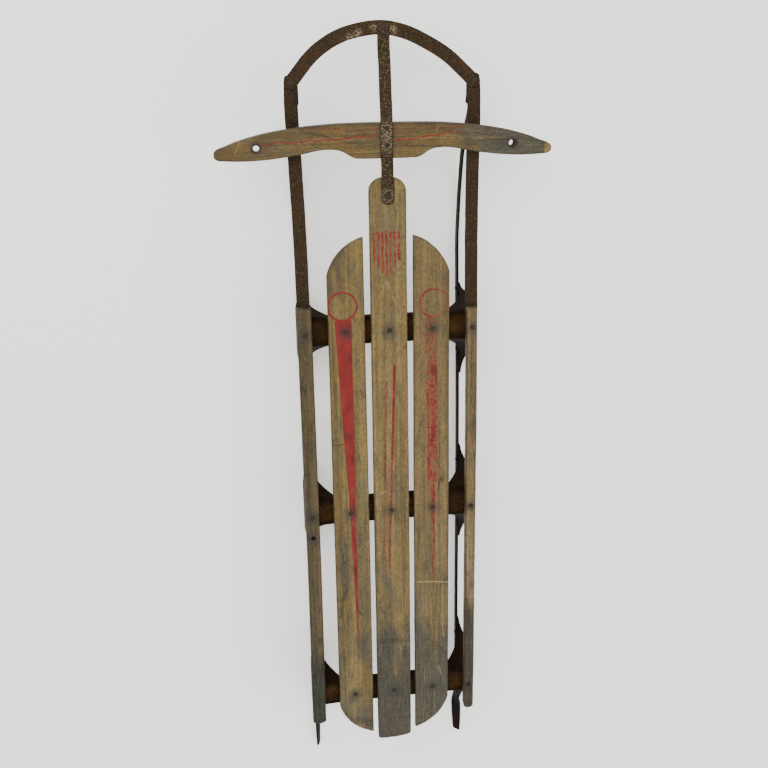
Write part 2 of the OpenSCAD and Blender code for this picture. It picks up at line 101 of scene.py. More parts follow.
def latticeNoise(points, seed):
    # Random values at whole-number points, blended between them by smoothStep, from -1 to 1.
    base = np.floor(points).astype(np.int64)
    part = points - base
    part = part * part * (3 - 2 * part)
    total = np.zeros(points.shape[:-1])
    for corner in np.ndindex(2, 2, 2):
        cell = base + np.array(corner)
        code = (cell @ scramble + seed * 144665) & 0xffffffff
        code = ((code ^ (code >> 13)) * 1274126177) & 0xffffffff
        value = ((code ^ (code >> 16)) & 0xffff) / 32767.5 - 1
        weight = np.where(np.array(corner) == 1, part, 1 - part).prod(-1)
        total += value * weight
    return total


def layeredNoise(points, size, seed, octaves=3):
    # Noise at size mm, and each finer octave at half the size and half the strength.
    size = np.array(size, float)
    return sum(latticeNoise(points / size * 2 ** k, seed + 17 * k) / 2 ** k for k in range(octaves)) / 1.6


def smoothCurve(knots, x):
    # A cubic through the knots, with each knot's slope taken from its two neighbours.
    knots = np.array(sorted(knots), float)
    kx, ky = knots[:, 0], knots[:, 1]
    slope = np.gradient(ky, kx)
    x = np.clip(x, kx[0], kx[-1])
    i = np.clip(np.searchsorted(kx, x) - 1, 0, len(kx) - 2)
    h = kx[i + 1] - kx[i]
    t = (x - kx[i]) / h
    return (ky[i] * (2 * t ** 3 - 3 * t ** 2 + 1) + ky[i + 1] * (3 * t ** 2 - 2 * t ** 3)
            + h * slope[i] * (t ** 3 - 2 * t ** 2 + t) + h * slope[i + 1] * (t ** 3 - t ** 2))


def softPath(knots, softness, step=1.0):
    # Points every step mm along straight runs, with the corners averaged over about softness mm.
    knots = np.array(knots, float)
    length = np.r_[0, np.cumsum(np.linalg.norm(np.diff(knots, axis=0), axis=1))]
    s = np.linspace(0, length[-1], int(length[-1] / step) + 1)
    path = np.stack([np.interp(s, length, column) for column in knots.T], 1)
    half = max(1, int(softness / step / 2))
    run = np.arange(1, 2 * half + 1)[:, None]
    before = path[0] - run[::-1] * (path[1] - path[0])
    after = path[-1] + run * (path[-1] - path[-2])
    padded = np.vstack([before, path, after])
    kernel = np.ones(half + 1) / (half + 1)
    for _ in range(2):
        padded = np.stack([np.convolve(column, kernel, "same") for column in padded.T], 1)
    return padded[2 * half:-2 * half]


def alongPath(path, q):
    # The point and the direction at q mm from the path's start; past its ends it runs on straight.
    length = np.r_[0, np.cumsum(np.linalg.norm(np.diff(path, axis=0), axis=1))]
    inside = np.clip(q, 0, length[-1])
    tangents = np.gradient(path, length, axis=0)
    point = np.stack([np.interp(inside, length, column) for column in path.T], -1)
    heading = np.stack([np.interp(inside, length, column) for column in tangents.T], -1)
    heading /= np.linalg.norm(heading, axis=-1, keepdims=True)
    return point + heading * (q - inside)[..., None], heading


def distanceToLine(points, line):
    # The shortest distance from each point to a polyline, in two dimensions.
    start, step = line[:-1], np.diff(line, axis=0)
    square = np.maximum((step ** 2).sum(1), 1e-12)
    best = np.empty(len(points))
    for first in range(0, len(points), 4000):
        away = points[first:first + 4000, None] - start[None]
        t = np.clip((away * step).sum(2) / square, 0, 1)
        best[first:first + 4000] = np.sqrt(((away - t[..., None] * step) ** 2).sum(2)).min(1)
    return best


def gridFaces(rows, columns, wrap=False, first=0):
    # Quads between neighbouring points of a grid; wrap joins its last column to its first.
    i, j = np.meshgrid(np.arange(rows - 1), np.arange(columns if wrap else columns - 1), indexing="ij")
    k = (j + 1) % columns
    corners = [i * columns + j, (i + 1) * columns + j, (i + 1) * columns + k, i * columns + k]
    return first + np.stack(corners, -1).reshape(-1, 4)


def signedVolume(points, faces):
    # A sixth of a . (b x c), summed over the faces' triangles: positive when they point outwards.
    a, b, c, d = (points[faces[:, k]] for k in range(4))
    return (np.einsum("ij,ij->i", a, np.cross(b, c)) + np.einsum("ij,ij->i", a, np.cross(c, d))).sum() / 6


def buildPiece(name, points, faces, material, body, replaced=(), marks=None, closed=True):
    # Puts points (mm) and faces into a mesh piece. A face that names one point twice is a triangle.
    points = np.asarray(points, float).reshape(-1, 3)
    faces = np.asarray(faces, np.int64)
    if closed and signedVolume(points, faces) < 0:
        faces = faces[:, ::-1]
    used = np.unique(faces)
    renumber = np.zeros(len(points), np.int64)
    renumber[used] = np.arange(len(used))
    faces = renumber[faces]
    mesh = bpy.data.meshes.new(name)
    mesh.from_pydata((points[used] * mm).tolist(), [], [list(dict.fromkeys(face)) for face in faces.tolist()])
    for markName, values in (marks or {}).items():
        layer = mesh.attributes.new(markName, "FLOAT", "POINT")
        layer.data.foreach_set("value", np.asarray(values, np.float32).reshape(-1)[used])
    mesh.polygons.foreach_set("use_smooth", np.ones(len(mesh.polygons), bool))
    mesh.materials.append(material)
    mesh.update()
    piece = bpy.data.objects.new(name, mesh)
    bpy.context.scene.collection.objects.link(piece)
    if replaced:
        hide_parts(*replaced)
    if body:
        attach(piece, body)
    return piece


def edgeDrop(distance, radius):
    # How far a rounded edge falls at a distance in from the outline: r - sqrt(r^2 - (r - d)^2).
    d = np.minimum(distance, radius)
    return radius - np.sqrt(np.maximum(radius ** 2 - (radius - d) ** 2, 0))


rimSteps = np.array([0, 0.05, 0.18, 0.4, 0.7, 1.05])      # rows over a rounded rim, in radii from the outline
rimDepth = 1.6                                            # where the rim ends and even rows begin


def plank(lowEdge, highEdge, cuts, thickness, radius, rows, holes=(), relief=None):
    # A flat piece between two edge curves q = low(p) and q = high(p), with rounded rims.
    # Returns points (p, q, z) about its middle plane, its faces, and each point's distance from the rim.
    cuts = np.asarray(cuts, float)
    low, high = lowEdge(cuts), highEdge(cuts)
    rim = radius * np.r_[rimSteps, rimDepth]
    share = np.minimum(1, (high - low) / (2.6 * rim[-1]))[:, None]
    near, far = low[:, None] + rim * share, high[:, None] - rim[::-1] * share
    middle = near[:, -1:] + (far[:, :1] - near[:, -1:]) * np.linspace(0, 1, rows + 2)[1:-1]
    q = np.hstack([near, middle, far])
    p = np.repeat(cuts[:, None], q.shape[1], 1)
    n, m = q.shape
    lowLine, highLine = np.stack([cuts, low], 1), np.stack([cuts, high], 1)
    outline = np.vstack([lowLine, highLine[::-1], lowLine[:1]])
    flat = np.stack([p, q], -1).reshape(-1, 2)
    distance = distanceToLine(flat, outline)
    wear = radius * (1 + 0.35 * layeredNoise(np.c_[flat, np.zeros(len(flat))], 18, 5))
    onRim = np.zeros((n, m), bool)
    onRim[[0, -1]] = True
    onRim[:, [0, -1]] = True
    distance[onRim.reshape(-1)] = 0
    drop = edgeDrop(distance, wear)
    top = np.c_[flat, thickness / 2 - drop]
    bottom = np.c_[flat, drop - thickness / 2]
    if relief is not None:
        inside = smoothStep(distance / (2.5 * radius))
        top[:, 2] += relief(top, 1) * inside
        bottom[:, 2] += relief(bottom, -1) * inside
    size = n * m
    index = np.arange(size).reshape(n, m)
    keep = np.ones((n - 1, m - 1), bool)
    points, faces, extra = [top, bottom], [], []
    total = 2 * size
    for hole in holes:
        # The grid's cells round a hole give way to rings that run from a square to its circle and down through it.
        reach = hole["mouth"] * 1.7
        i0, i1 = np.searchsorted(cuts, hole["p"] - reach) - 1, np.searchsorted(cuts, hole["p"] + reach)
        line = q[(i0 + i1) // 2]
        j0, j1 = np.searchsorted(line, hole["q"] - reach) - 1, np.searchsorted(line, hole["q"] + reach)
        keep[i0:i1, j0:j1] = False
        loop = np.concatenate([index[i0:i1, j0], index[i1, j0:j1], index[i1:i0:-1, j1], index[i0, j1:j0:-1]])
        around = flat[loop] - [hole["p"], hole["q"]]
        angle = np.arctan2(around[:, 1], around[:, 0])
        circle = np.stack([np.cos(angle), np.sin(angle)], 1)
        r, mouth, deep, half = hole["r"], hole["mouth"], hole["deep"], thickness / 2
        # radius and height of each ring: the worn mouth, its bowl, the straight bore and the lower mouth
        steps = [(mouth * 1.25, half), (mouth, half - 0.25), (mouth - 0.4 * (mouth - r), half - 0.4 * deep),
                 (r + 0.25, half - deep), (r, half - deep - 0.8), (r, -half + 1), (r + 0.3, -half + 0.2),
                 (mouth, -half)]
        rings = [loop]
        for ringRadius, z in steps:
            rough = 0.12 * layeredNoise(np.c_[circle * ringRadius, np.full(len(loop), z)], 3, 9)
            points.append(np.c_[circle * (ringRadius + rough)[:, None] + [hole["p"], hole["q"]],
                                np.full(len(loop), z)])
            rings.append(total + np.arange(len(loop)))
            extra.append(np.full(len(loop), 0.0 if ringRadius < mouth * 1.2 else 4.0))
            total += len(loop)
        rings.append(loop + size)
        for upper, lower in zip(rings[:-1], rings[1:]):
            faces.append(np.stack([upper, np.roll(upper, -1), np.roll(lower, -1), lower], 1))
    i, j = np.nonzero(keep)
    cells = np.stack([index[i, j], index[i + 1, j], index[i + 1, j + 1], index[i, j + 1]], 1)
    ring = np.concatenate([index[:-1, 0], index[-1, :-1], index[:0:-1, -1], index[0, :0:-1]])
    ahead = np.roll(ring, -1)
    faces += [cells, cells[:, ::-1] + size, np.stack([ring + size, ahead + size, ahead, ring], 1)]
    distances = np.concatenate([distance, distance] + extra)
    return np.vstack(points), np.vstack(faces), distances


def evenCuts(low, high, radius, step):
    # Cuts that are close together at both rims of a piece and step mm apart between them.
    rim = radius * rimSteps
    inner = np.linspace(low + rimDepth * radius, high - rimDepth * radius, int((high - low) / step))
    return np.concatenate([low + rim, inner, high - rim[::-1]])


def roundCuts(low, high, count):
    # Cuts by the cosine, for a piece whose ends are round.
    return (low + high) / 2 - (high - low) / 2 * np.cos(np.linspace(0.06, math.pi - 0.06, count))


def lathe(profile, sides, centre, seed, wobble):
    # A profile of (radius, z) turned about +z, closed by one point at each end, with a little unevenness.
    profile = np.array(profile, float)
    turn = np.linspace(0, 2 * math.pi, sides, endpoint=False)
    r, z = profile[1:-1, 0][:, None], profile[1:-1, 1][:, None]
    ring = np.stack([r * np.cos(turn), r * np.sin(turn), z + 0 * turn], -1)
    ring += (wobble * layeredNoise(ring + 50 * seed, 2.5, seed))[..., None] * [1, 1, 0.7]
    points = np.vstack([[[0, 0, profile[0, 1]]], ring.reshape(-1, 3), [[0, 0, profile[-1, 1]]]]) + centre
    body = gridFaces(len(profile) - 2, sides, wrap=True, first=1)
    here = np.arange(sides)
    after = (here + 1) % sides
    last = len(points) - 1
    start = np.stack([0 * here, 1 + here, 1 + after, 1 + after], 1)
    end = np.stack([0 * here + last, last - sides + after, last - sides + here, last - sides + here], 1)
    return points, np.vstack([start, body, end])


def merge(parts):
    # Several (points, faces) as one.
    points, faces, total = [], [], 0
    for p, f in parts:
        points.append(p)
        faces.append(f + total)
        total += len(p)
    return np.vstack(points), np.vstack(faces)


def linear(hexColour):
    # sRGB hex to linear: (c / 12.92) when dark, else ((c + 0.055) / 1.055)^2.4
    parts = [int(hexColour[k:k + 2], 16) / 255 for k in (1, 3, 5)]
    return tuple(c / 12.92 if c <= 0.04045 else ((c + 0.055) / 1.055) ** 2.4 for c in parts) + (1.0,)


def addNode(tree, kind, inputs=(), output=0, stops=(), **settings):
    # Adds one node with its settings, its colour stops, its input values and its links, and gives back an output.
    node = tree.nodes.new("ShaderNode" + kind)
    for key, value in settings.items():
        setattr(node, key, value)
    elements = node.color_ramp.elements if stops else ()
    while len(elements) < len(stops):
        elements.new(0.5)
    for element, (position, colour) in zip(elements, stops):
        element.position, element.color = position, linear(colour)
    for key, value in inputs.items() if isinstance(inputs, dict) else enumerate(inputs):
        if isinstance(value, bpy.types.NodeSocket):
            tree.links.new(value, node.inputs[key])
        else:
            node.inputs[key].default_value = value
    return node.outputs[output] if len(node.outputs) else None


def newMaterial(name):
    # An empty material, and addNode for its tree. Map Range's inputs are the value, its range and the new range;
    # Mix's are 0 the share, 6 the colour below and 7 the colour on top, and its output 2 is the colour.
    material = bpy.data.materials.new(name)
    material.use_nodes = True
    material.node_tree.nodes.clear()
    return material, partial(addNode, material.node_tree)


soft = {"interpolation_type": "SMOOTHSTEP"}      # for a Map Range that eases in and out

# The board's patterns: mm across the grain, mm along it, detail, roughness and distortion.
boardPatterns = {"bands": (9, 420, 2, 0.55, 0.6),       # growth rings
                 "fibres": (1.1, 55, 4, 0.7, 0),        # fibres, drawn a little coarser than real ones
                 "pores": (0.7, 9, 2, 0.6, 0),          # short open pores
                 "patches": (38, 95, 3, 0.6, 0),        # where the varnish is gone
                 "specks": (1.5, 3.5, 2, 0.6, 0),       # grain of the worn paint
                 "blotches": (16, 34, 4, 0.65, 0),      # dirt and handling
                 "mottle": (3.2, 6, 3, 0.7, 0)}         # small clouds of weathering

# Fine scratches: their angle in radians, the mm between them, colour and strength.
boardScratches = [(0.35, 60, "#a5916c", 0.4), (-0.9, 85, "#2c261c", 0.75), (1.25, 95, "#3a3226", 0.6)]


def weatheredBoard(name, look):
    # Ash board, planed and varnished, then left outdoors: honey-brown where some varnish is left,
    # silver grey where it is gone, with dark fibres along the grain and black iron stains round rivets.
    material, add = newMaterial(name)
    place = add("TexCoord", output="Object")
    turned = add("Mapping", {0: place, "Location": look["offset"], "Rotation": (0, 0, look["turn"])})
    pattern = {}
    for key, (across, along, detail, rough, distortion) in boardPatterns.items():
        stretched = add("Mapping", {0: turned, "Scale": (1000 / across, 1000 / along, 1000 / across)})
        pattern[key] = add("TexNoise", {"Vector": stretched, "Scale": 1, "Detail": detail, "Roughness": rough,
                                        "Distortion": distortion})
    fibres, blotches = pattern["fibres"], pattern["blotches"]

    # honey-brown wood, and grey wood where the weather has reached it
    wood = add("ValToRGB", [pattern["bands"]],
               stops=[(0.25, look["dark"]), (0.5, look["middle"]), (0.72, look["light"])])
    greyWood = add("ValToRGB", [fibres],
                   stops=[(0.3, look["greyDark"]), (0.55, look["grey"]), (0.75, look["greyLight"])])
    along = add("SeparateXYZ", [place], look["greyAxis"])
    weather = add("MapRange", [along, look["greyFrom"], look["greyTo"], look["greyLeast"], look["greyMost"]], **soft)
    greyShare = add("Math", [pattern["patches"], 1.9, weather], operation="MULTIPLY_ADD")
    greyShare = add("MapRange", [greyShare, 0.72, 1.5, 0, 0.92], **soft)
    fibreShade = add("ValToRGB", [fibres], stops=[(0.3, "#a8a8a8"), (0.5, "#e6e6e6"), (0.7, "#ffffff")])
    mottle = add("ValToRGB", [pattern["mottle"]], stops=[(0.35, "#c4c4c4"), (0.6, "#ffffff")])
    poreShade = add("ValToRGB", [pattern["pores"]], stops=[(0.3, "#6a6a6a"), (0.42, "#ffffff")])
    streaks = add("MapRange", [fibres, 0.58, 0.72, 0, look["streaks"]])
    streaks = add("Math", [streaks, add("MapRange", [blotches, 0.5, 0.4])], operation="MULTIPLY")
    dirt = add("MapRange", [blotches, 0.5, 0.72, 0, look["dirt"]], **soft)
    # each layer: how much of it there is, its colour, and how it goes on
    layers = [(greyShare, greyWood, "MIX"), (0.8, fibreShade, "MULTIPLY"), (streaks, linear("#a8915f"), "MIX"),
              (0.8, mottle, "MULTIPLY"), (0.6, poreShade, "MULTIPLY"), (dirt, linear(look["dirtColour"]), "MIX")]

    # scratches: thin bright and dark lines where a coarse noise crosses its middle value
    broken = add("MapRange", [blotches, 0.5, 0.6])
    for angle, spacing, tone, strength in boardScratches:
        lines = add("Mapping", {0: turned, "Rotation": (0, 0, angle), "Location": (spacing, angle, 0),
                                "Scale": (1000 / spacing, 1000 / spacing / 7, 1)})
        off = add("Math", [add("TexNoise", {"Vector": lines, "Scale": 1, "Detail": 1}), 0.5], operation="SUBTRACT")
        off = add("Math", [off], operation="ABSOLUTE")
        thin = add("MapRange", [off, 0, 0.0045, strength, 0])
        layers.append((add("Math", [thin, broken], operation="MULTIPLY"), linear(tone), "MIX"))

    # cracks, stains and knocks: the distance to a segment, on a plane that wanders a little
    flat = add("VectorMath", [place, (1, 1, 0)], operation="MULTIPLY")
    wander = add("TexNoise", {"Vector": place, "Scale": 60, "Detail": 3}, "Color")
    wander = add("VectorMath", [wander, (0.5, 0.5, 0.5)], operation="SUBTRACT")
    flat = add("VectorMath", [wander, (0.012, 0.012, 0), flat], operation="MULTIPLY_ADD")
    patchy = add("MapRange", [blotches, 0.35, 0.6, 0.35, 1])
    for x0, y0, x1, y1, half, tone, strength in look["marks"]:
        start, step = Vector((x0, y0, 0)) * mm, Vector((x1 - x0, y1 - y0, 0)) * mm
        away = add("VectorMath", [flat, start], operation="SUBTRACT")
        share = add("VectorMath", [away, step / step.length_squared], "Value", operation="DOT_PRODUCT")
        share = add("Math", [share, 1], operation="MULTIPLY", use_clamp=True)
        nearest = add("VectorMath", {0: step, "Scale": share}, operation="SCALE")
        away = add("VectorMath", [away, nearest], "Value", operation="DISTANCE")
        mark = add("MapRange", [away, 0.3 * half * mm, half * mm, strength, 0], **soft)
        if half > 1.5:      # a wide mark is a stain, and uneven
            mark = add("Math", [mark, patchy], operation="MULTIPLY")
        layers.append((mark, linear(tone), "MIX"))

    # worn red paint, broken along the fibres and rubbed off in patches
    rubbed = add("Math", [blotches, 0.3], operation="MULTIPLY")
    rubbed = add("Math", [pattern["specks"], 0.45, rubbed], operation="MULTIPLY_ADD")
    rubbed = add("Math", [fibres, 0.25, rubbed], operation="MULTIPLY_ADD")
    paint = 0
    for shape in look["paint"]:
        axis = shape.get("axis", "Y")
        xyz = add("SeparateXYZ", [flat if shape.get("wanders") else place]).node.outputs
        if "radius" in shape:
            # a ring: half its line's width less |distance - radius|
            away = add("CombineXYZ", [xyz["X"], xyz["Y"]])
            away = add("VectorMath", [away, (*shape["at"], 0)], "Value", operation="DISTANCE")
            off = add("Math", [away, shape["radius"]], operation="SUBTRACT")
            off = add("Math", [off], operation="ABSOLUTE")
            inside = add("Math", [shape["line"] / 2, off], operation="SUBTRACT")
        else:
            # a stripe: |x - x(y)| below a half width that tapers from one end to the other
            t = add("MapRange", [xyz[axis], shape["from"], shape["to"]], clamp=False)
            centre = add("MapRange", [t, 0, 1, *shape["centre"]])
            half = add("MapRange", [t, 0, 1, *shape["half"]])
            off = add("Math", [xyz["X" if axis == "Y" else "Y"], centre], operation="SUBTRACT")
            off = add("Math", [off], operation="ABSOLUTE")
            inside = add("Math", [half, off], operation="SUBTRACT")
            between = add("Math", [add("Math", [t, 0.5], operation="SUBTRACT")], operation="ABSOLUTE")
            ends = add("Math", [0.5, between], operation="SUBTRACT")
            ends = add("Math", [ends, abs(shape["to"] - shape["from"])], operation="MULTIPLY")
            inside = add("Math", [inside, ends], operation="MINIMUM")
        sharp = add("MapRange", [inside, -0.0004, 0.0004])
        # how much is left: shape["left"] is 1 for nearly whole and 0 for nearly gone
        fade = add("MapRange", [xyz[axis], *shape["fade"], *shape["left"]])
        kept = add("Math", [fade, rubbed], operation="SUBTRACT")
        kept = add("MapRange", [kept, -0.02, 0.03, 0, 0.95])
        mask = add("Math", [sharp, kept], operation="MULTIPLY")
        paint = add("Math", [paint, mask], operation="MAXIMUM")
    if look["paint"]:
        up = add("SeparateXYZ", [add("NewGeometry", output="Normal")], "Z")
        paint = add("Math", [paint, add("MapRange", [up, 0.4, 0.7])], operation="MULTIPLY")
        red = add("ValToRGB", [blotches], stops=[(0.35, "#5f0d0f"), (0.5, "#7a1213"), (0.7, "#86201c")])
        layers.append((paint, red, "MIX"))

    # iron stains round the rivets, and grime on the rims
    stain = add("Attribute", output="Fac", attribute_name="stain")
    stain = add("Math", [add("Math", [blotches, 1.3, 0.35], operation="MULTIPLY_ADD"), stain], operation="MULTIPLY")
    rim = add("Attribute", output="Fac", attribute_name="rim")
    rim = add("Math", [rim, add("MapRange", [blotches, 0.4, 0.6, 0.25, 0.75])], operation="MULTIPLY")
    layers += [(stain, linear("#2b2a26"), "MIX"), (rim, linear(look["rimColour"]), "MIX")]
    colour = wood
    for share, tone, how in layers:
        colour = add("Mix", {0: share, 6: colour, 7: tone}, 2, data_type="RGBA", blend_type=how)
    roughness = add("MapRange", [greyShare, 0, 1, 0.58, 0.82])
    height = add("Math", [pattern["pores"], 0.3], operation="MULTIPLY")
    height = add("Math", [fibres, 0.7, height], operation="MULTIPLY_ADD")
    bump = add("Bump", {"Strength": 0.55, "Distance": 0.0006, "Height": height})
    shader = add("BsdfPrincipled", {"Base Color": colour, "Roughness": roughness, "Normal": bump, "IOR": 1.45,
                                    "Specular IOR Level": 0.35})
    add("OutputMaterial", {"Surface": shader})
    return material


# The rust's patterns: mm across, detail and roughness.
rustPatterns = {"fine": (1.7, 2, 0.7),      # orange peel
                "pits": (2.4, 2, 0.6),      # pits that hold dust
                "cloud": (22, 4, 0.6),      # patches of warmer rust
                "wide": (90, 3, 0.6)}       # where enamel is left


def rustedSteel(name, look):
    # Mild steel strip, rolled and black enamelled, with most of the enamel gone: even brown rust,
    # pitted like orange peel, with pale dust in the pits and dark enamel left in patches.
    material, add = newMaterial(name)
    place = add("Mapping", {0: add("TexCoord", output="Object"), "Location": look["offset"]})
    fine, pits, cloud, wide = (
        add("TexNoise", {"Vector": place, "Scale": 1000 / size, "Detail": detail, "Roughness": rough})
        for size, detail, rough in rustPatterns.values())
    warm = add("MapRange", [cloud, 0.42, 0.66, 0, look["warmShare"]], **soft)
    dust = add("MapRange", [pits, 0.55, 0.66, 0, look["dustShare"]], **soft)
    rub = add("Attribute", output="Fac", attribute_name="rub")
    rub = add("Math", [rub, add("MapRange", [pits, 0.44, 0.56, 0, 0.85])], operation="MULTIPLY")
    enamel = add("Math", [cloud, 0.4], operation="MULTIPLY")
    enamel = add("Math", [wide, 0.6, enamel], operation="MULTIPLY_ADD")
    enamel = add("MapRange", [enamel, look["enamelFrom"], look["enamelFrom"] + 0.05, 0, 0.9], **soft)
    # rim darkens each piece towards its rims; on the benches it is painted shade over the flanks and legs
    rim = add("Attribute", output="Fac", attribute_name="rim")
    patchy = add("MapRange", [cloud, 0.4, 0.62, look["rimLeast"], look["rimShare"]])
    rim = add("Math", [rim, patchy], operation="MULTIPLY")
    colour = add("ValToRGB", [fine], stops=[(0.38, look["dark"]), (0.5, look["middle"]), (0.62, look["light"])])
    for share, tone in ((warm, look["warm"]), (dust, look["dust"]), (rub, "#9a8a6c"), (enamel, look["enamel"]),
                        (rim, look["rimColour"])):
        colour = add("Mix", {0: share, 6: colour, 7: linear(tone)}, 2, data_type="RGBA")
    roughness = add("MapRange", [enamel, 0, 1, look["rough"], look["enamelRough"]])
    height = add("Math", [fine, 0.5, pits], operation="MULTIPLY_ADD")
    bump = add("Bump", {"Strength": look["bump"], "Distance": 0.0008, "Height": height})
    shader = add("BsdfPrincipled", {"Base Color": colour, "Roughness": roughness, "Normal": bump,
                                    "Specular IOR Level": look["shine"]})
    add("OutputMaterial", {"Surface": shader})
    return material


woodBase = {
    "offset": (0, 0, 0), "turn": 0.0, "dark": "#604d29", "middle": "#826b39", "light": "#98824b",
    "greyDark": "#4d4a3c", "grey": "#5a574a", "greyLight": "#666353", "greyAxis": "Y", "greyFrom": 0.0,
    "greyTo": -0.62, "greyLeast": -0.2, "greyMost": 0.55, "streaks": 0.25, "dirt": 0.4, "dirtColour": "#3a3427",
    "rimColour": "#2f291d", "marks": (), "paint": ()}
stripe, pinstripe = {"axis": "Y"}, {"axis": "X", "wanders": True}
crack, stainTone, pale = "#211c14", "#33322a", "#a58f60"

# Marks are (x, y) to (x, y) in mm, half their width, colour and strength. Paint is in metres.

slatLeftWood = weatheredBoard("weatheredAshSlatLeft", woodBase | {
    "offset": (0.31, 0.2, 0.0), "greyMost": 0.12, "greyLeast": -0.15,
    "marks": [(-71, 108, -43, 100, 1.6, stainTone, 0.75), (-66, 103, -42, 96, 4, stainTone, 0.45),
              (-101, 6, -82, 10, 1.1, crack, 0.85), (-86, -175, -84, -300, 0.7, crack, 0.6),
              (-84, -330, -83, -425, 0.6, crack, 0.45), (-93, -195, -88, -228, 0.9, crack, 0.7),
              (-95, 365, -92, 285, 20, "#3c3425", 0.7), (-80, 372, -79, 270, 2.2, "#453c2b", 0.5),
              (-72, -565, -45, -580, 14, stainTone, 0.65), (-95, -520, -60, -555, 22, "#4b4a3f", 0.5),
              (-52, -60, -50, -120, 9, "#57564a", 0.45), (-100, -545, -80, -572, 9, stainTone, 0.5),
              (-66, -572, -42, -574, 0.9, crack, 0.6), (-95, 120, -96, 60, 5, stainTone, 0.4)],
    "paint": [stripe | {"from": 0.2335, "to": -0.09, "centre": (-0.0785, -0.071), "half": (0.0142, 0.0062),
                        "fade": (0.12, -0.09), "left": (0.95, 0.565)},
              stripe | {"from": -0.09, "to": -0.40, "centre": (-0.071, -0.066), "half": (0.0056, 0.0012),
                        "fade": (-0.09, -0.40), "left": (0.6, 0.53)},
              {"at": (-0.0789, 0.2570), "radius": 0.0243, "line": 0.0034, "fade": (0.3, 0.15), "left": (0.7, 0.6)}]})
slatCentreWood = weatheredBoard("weatheredAshSlatCentre", woodBase | {
    "offset": (0.87, 0.4, 0.3), "greyMost": 1.0, "greyLeast": -0.25, "greyFrom": -0.18, "dark": "#66542f",
    "middle": "#86703f", "light": "#9b8553", "greyDark": "#45433a", "grey": "#504e44", "greyLight": "#5c594c",
    "marks": [(-26, -396, 30, -402, 7, stainTone, 0.6), (-27, -37, 0, -80, 0.8, crack, 0.55),
              (0, -80, 24, -125, 0.8, crack, 0.5), (12, 345, 28, 325, 1.3, crack, 0.6),
              (-28, 239, 28, 243, 1.6, "#4b4534", 0.5), (-28, 262, 25, 266, 0.9, "#4b4534", 0.4),
              (4, 238, 2, 200, 13, "#4a4a41", 0.6), (-10, -570, 22, -573, 0.9, crack, 0.55),
              (20, -540, 21, -541, 2.2, crack, 0.9), (-6, 440, 6, 330, 16, "#5b5747", 0.35),
              (-20, -250, 10, -330, 12, "#45463e", 0.5), (0, -60, 4, -110, 14, "#4d4c42", 0.4)],
    "paint": [stripe | {"from": 0.15, "to": -0.245, "centre": (0.008, -0.006), "half": (0.0023, 0.0021),
                        "fade": (0.15, -0.245), "left": (0.58, 0.52)},
              stripe | {"from": 0.12, "to": -0.215, "centre": (-0.006, -0.016), "half": (0.0012, 0.0012),
                        "fade": (0.12, -0.215), "left": (0.56, 0.48)}]
             + [stripe | {"from": 0.383 - 0.001 * abs(k), "to": 0.30 + 0.011 * abs(k),
                          "centre": (0.0068 * k - 0.003, 0.0068 * k - 0.003), "half": (0.0026, 0.0019),
                          "fade": (0.38, 0.29), "left": (0.53, 0.53)} for k in range(-3, 4)]})
slatRightWood = weatheredBoard("weatheredAshSlatRight", woodBase | {
    "offset": (0.13, 0.7, 0.6), "greyMost": 0.85, "greyLeast": -0.3, "greyFrom": -0.12, "streaks": 0.6,
    "middle": "#806a3e", "light": "#937b4b",
    "marks": [(45, -277, 101, -283, 1.3, pale, 0.85), (82, -417, 108, -447, 1.2, crack, 0.75),
              (48, -408, 82, -418, 0.8, crack, 0.4), (100, 9, 79, -11, 0.8, crack, 0.6),
              (79, -11, 83, -45, 0.7, crack, 0.5), (83, -45, 103, -73, 0.8, crack, 0.6),
              (52, 385, 84, 345, 1.2, crack, 0.6), (46, 385, 60, 378, 4, stainTone, 0.35),
              (52, 260, 58, 215, 1.0, crack, 0.55), (58, 215, 60, 170, 0.8, crack, 0.4),
              (92, -350, 95, -400, 1.0, pale, 0.45), (50, -320, 52, -400, 10, "#4a4b42", 0.5),
              (60, -548, 100, -520, 1.0, crack, 0.45), (75, -480, 90, -540, 13, "#4b4b43", 0.5)]
             + [(47 + 7.5 * k, -286 - 9 * (k % 3), 48 + 7.5 * k, -332 - 14 * (k % 4), 0.9, pale, 0.28)
                for k in range(8)],
    "paint": [stripe | {"from": 0.232, "to": -0.08, "centre": (0.0715, 0.074), "half": (0.0105, 0.0085),
                        "fade": (0.232, 0.06), "left": (0.47, 0.53)},
              stripe | {"from": -0.08, "to": -0.31, "centre": (0.074, 0.076), "half": (0.005, 0.001),
                        "fade": (-0.08, -0.31), "left": (0.53, 0.48)},
              {"at": (0.0762, 0.2560), "radius": 0.0243, "line": 0.0034, "fade": (0.3, 0.15), "left": (0.52, 0.54)}]})
railLeftWood = weatheredBoard("weatheredAshRailLeft", woodBase | {
    "offset": (0.5, 0.1, 0.2), "dark": "#41351e", "middle": "#5b4c2e", "light": "#6f5e3c", "greyDark": "#2b2a23",
    "grey": "#414034", "greyLight": "#4c493e", "greyFrom": -0.35, "greyTo": -0.58, "greyLeast": -0.2, "greyMost": 0.9,
    "dirt": 0.7, "dirtColour": "#201c14", "rimColour": "#1d1912",
    "marks": [(-150, 140, -149, -120, 0.8, crack, 0.7), (-139, 60, -140, -20, 0.7, crack, 0.5),
              (-146, -250, -147, -420, 0.9, crack, 0.6)]})
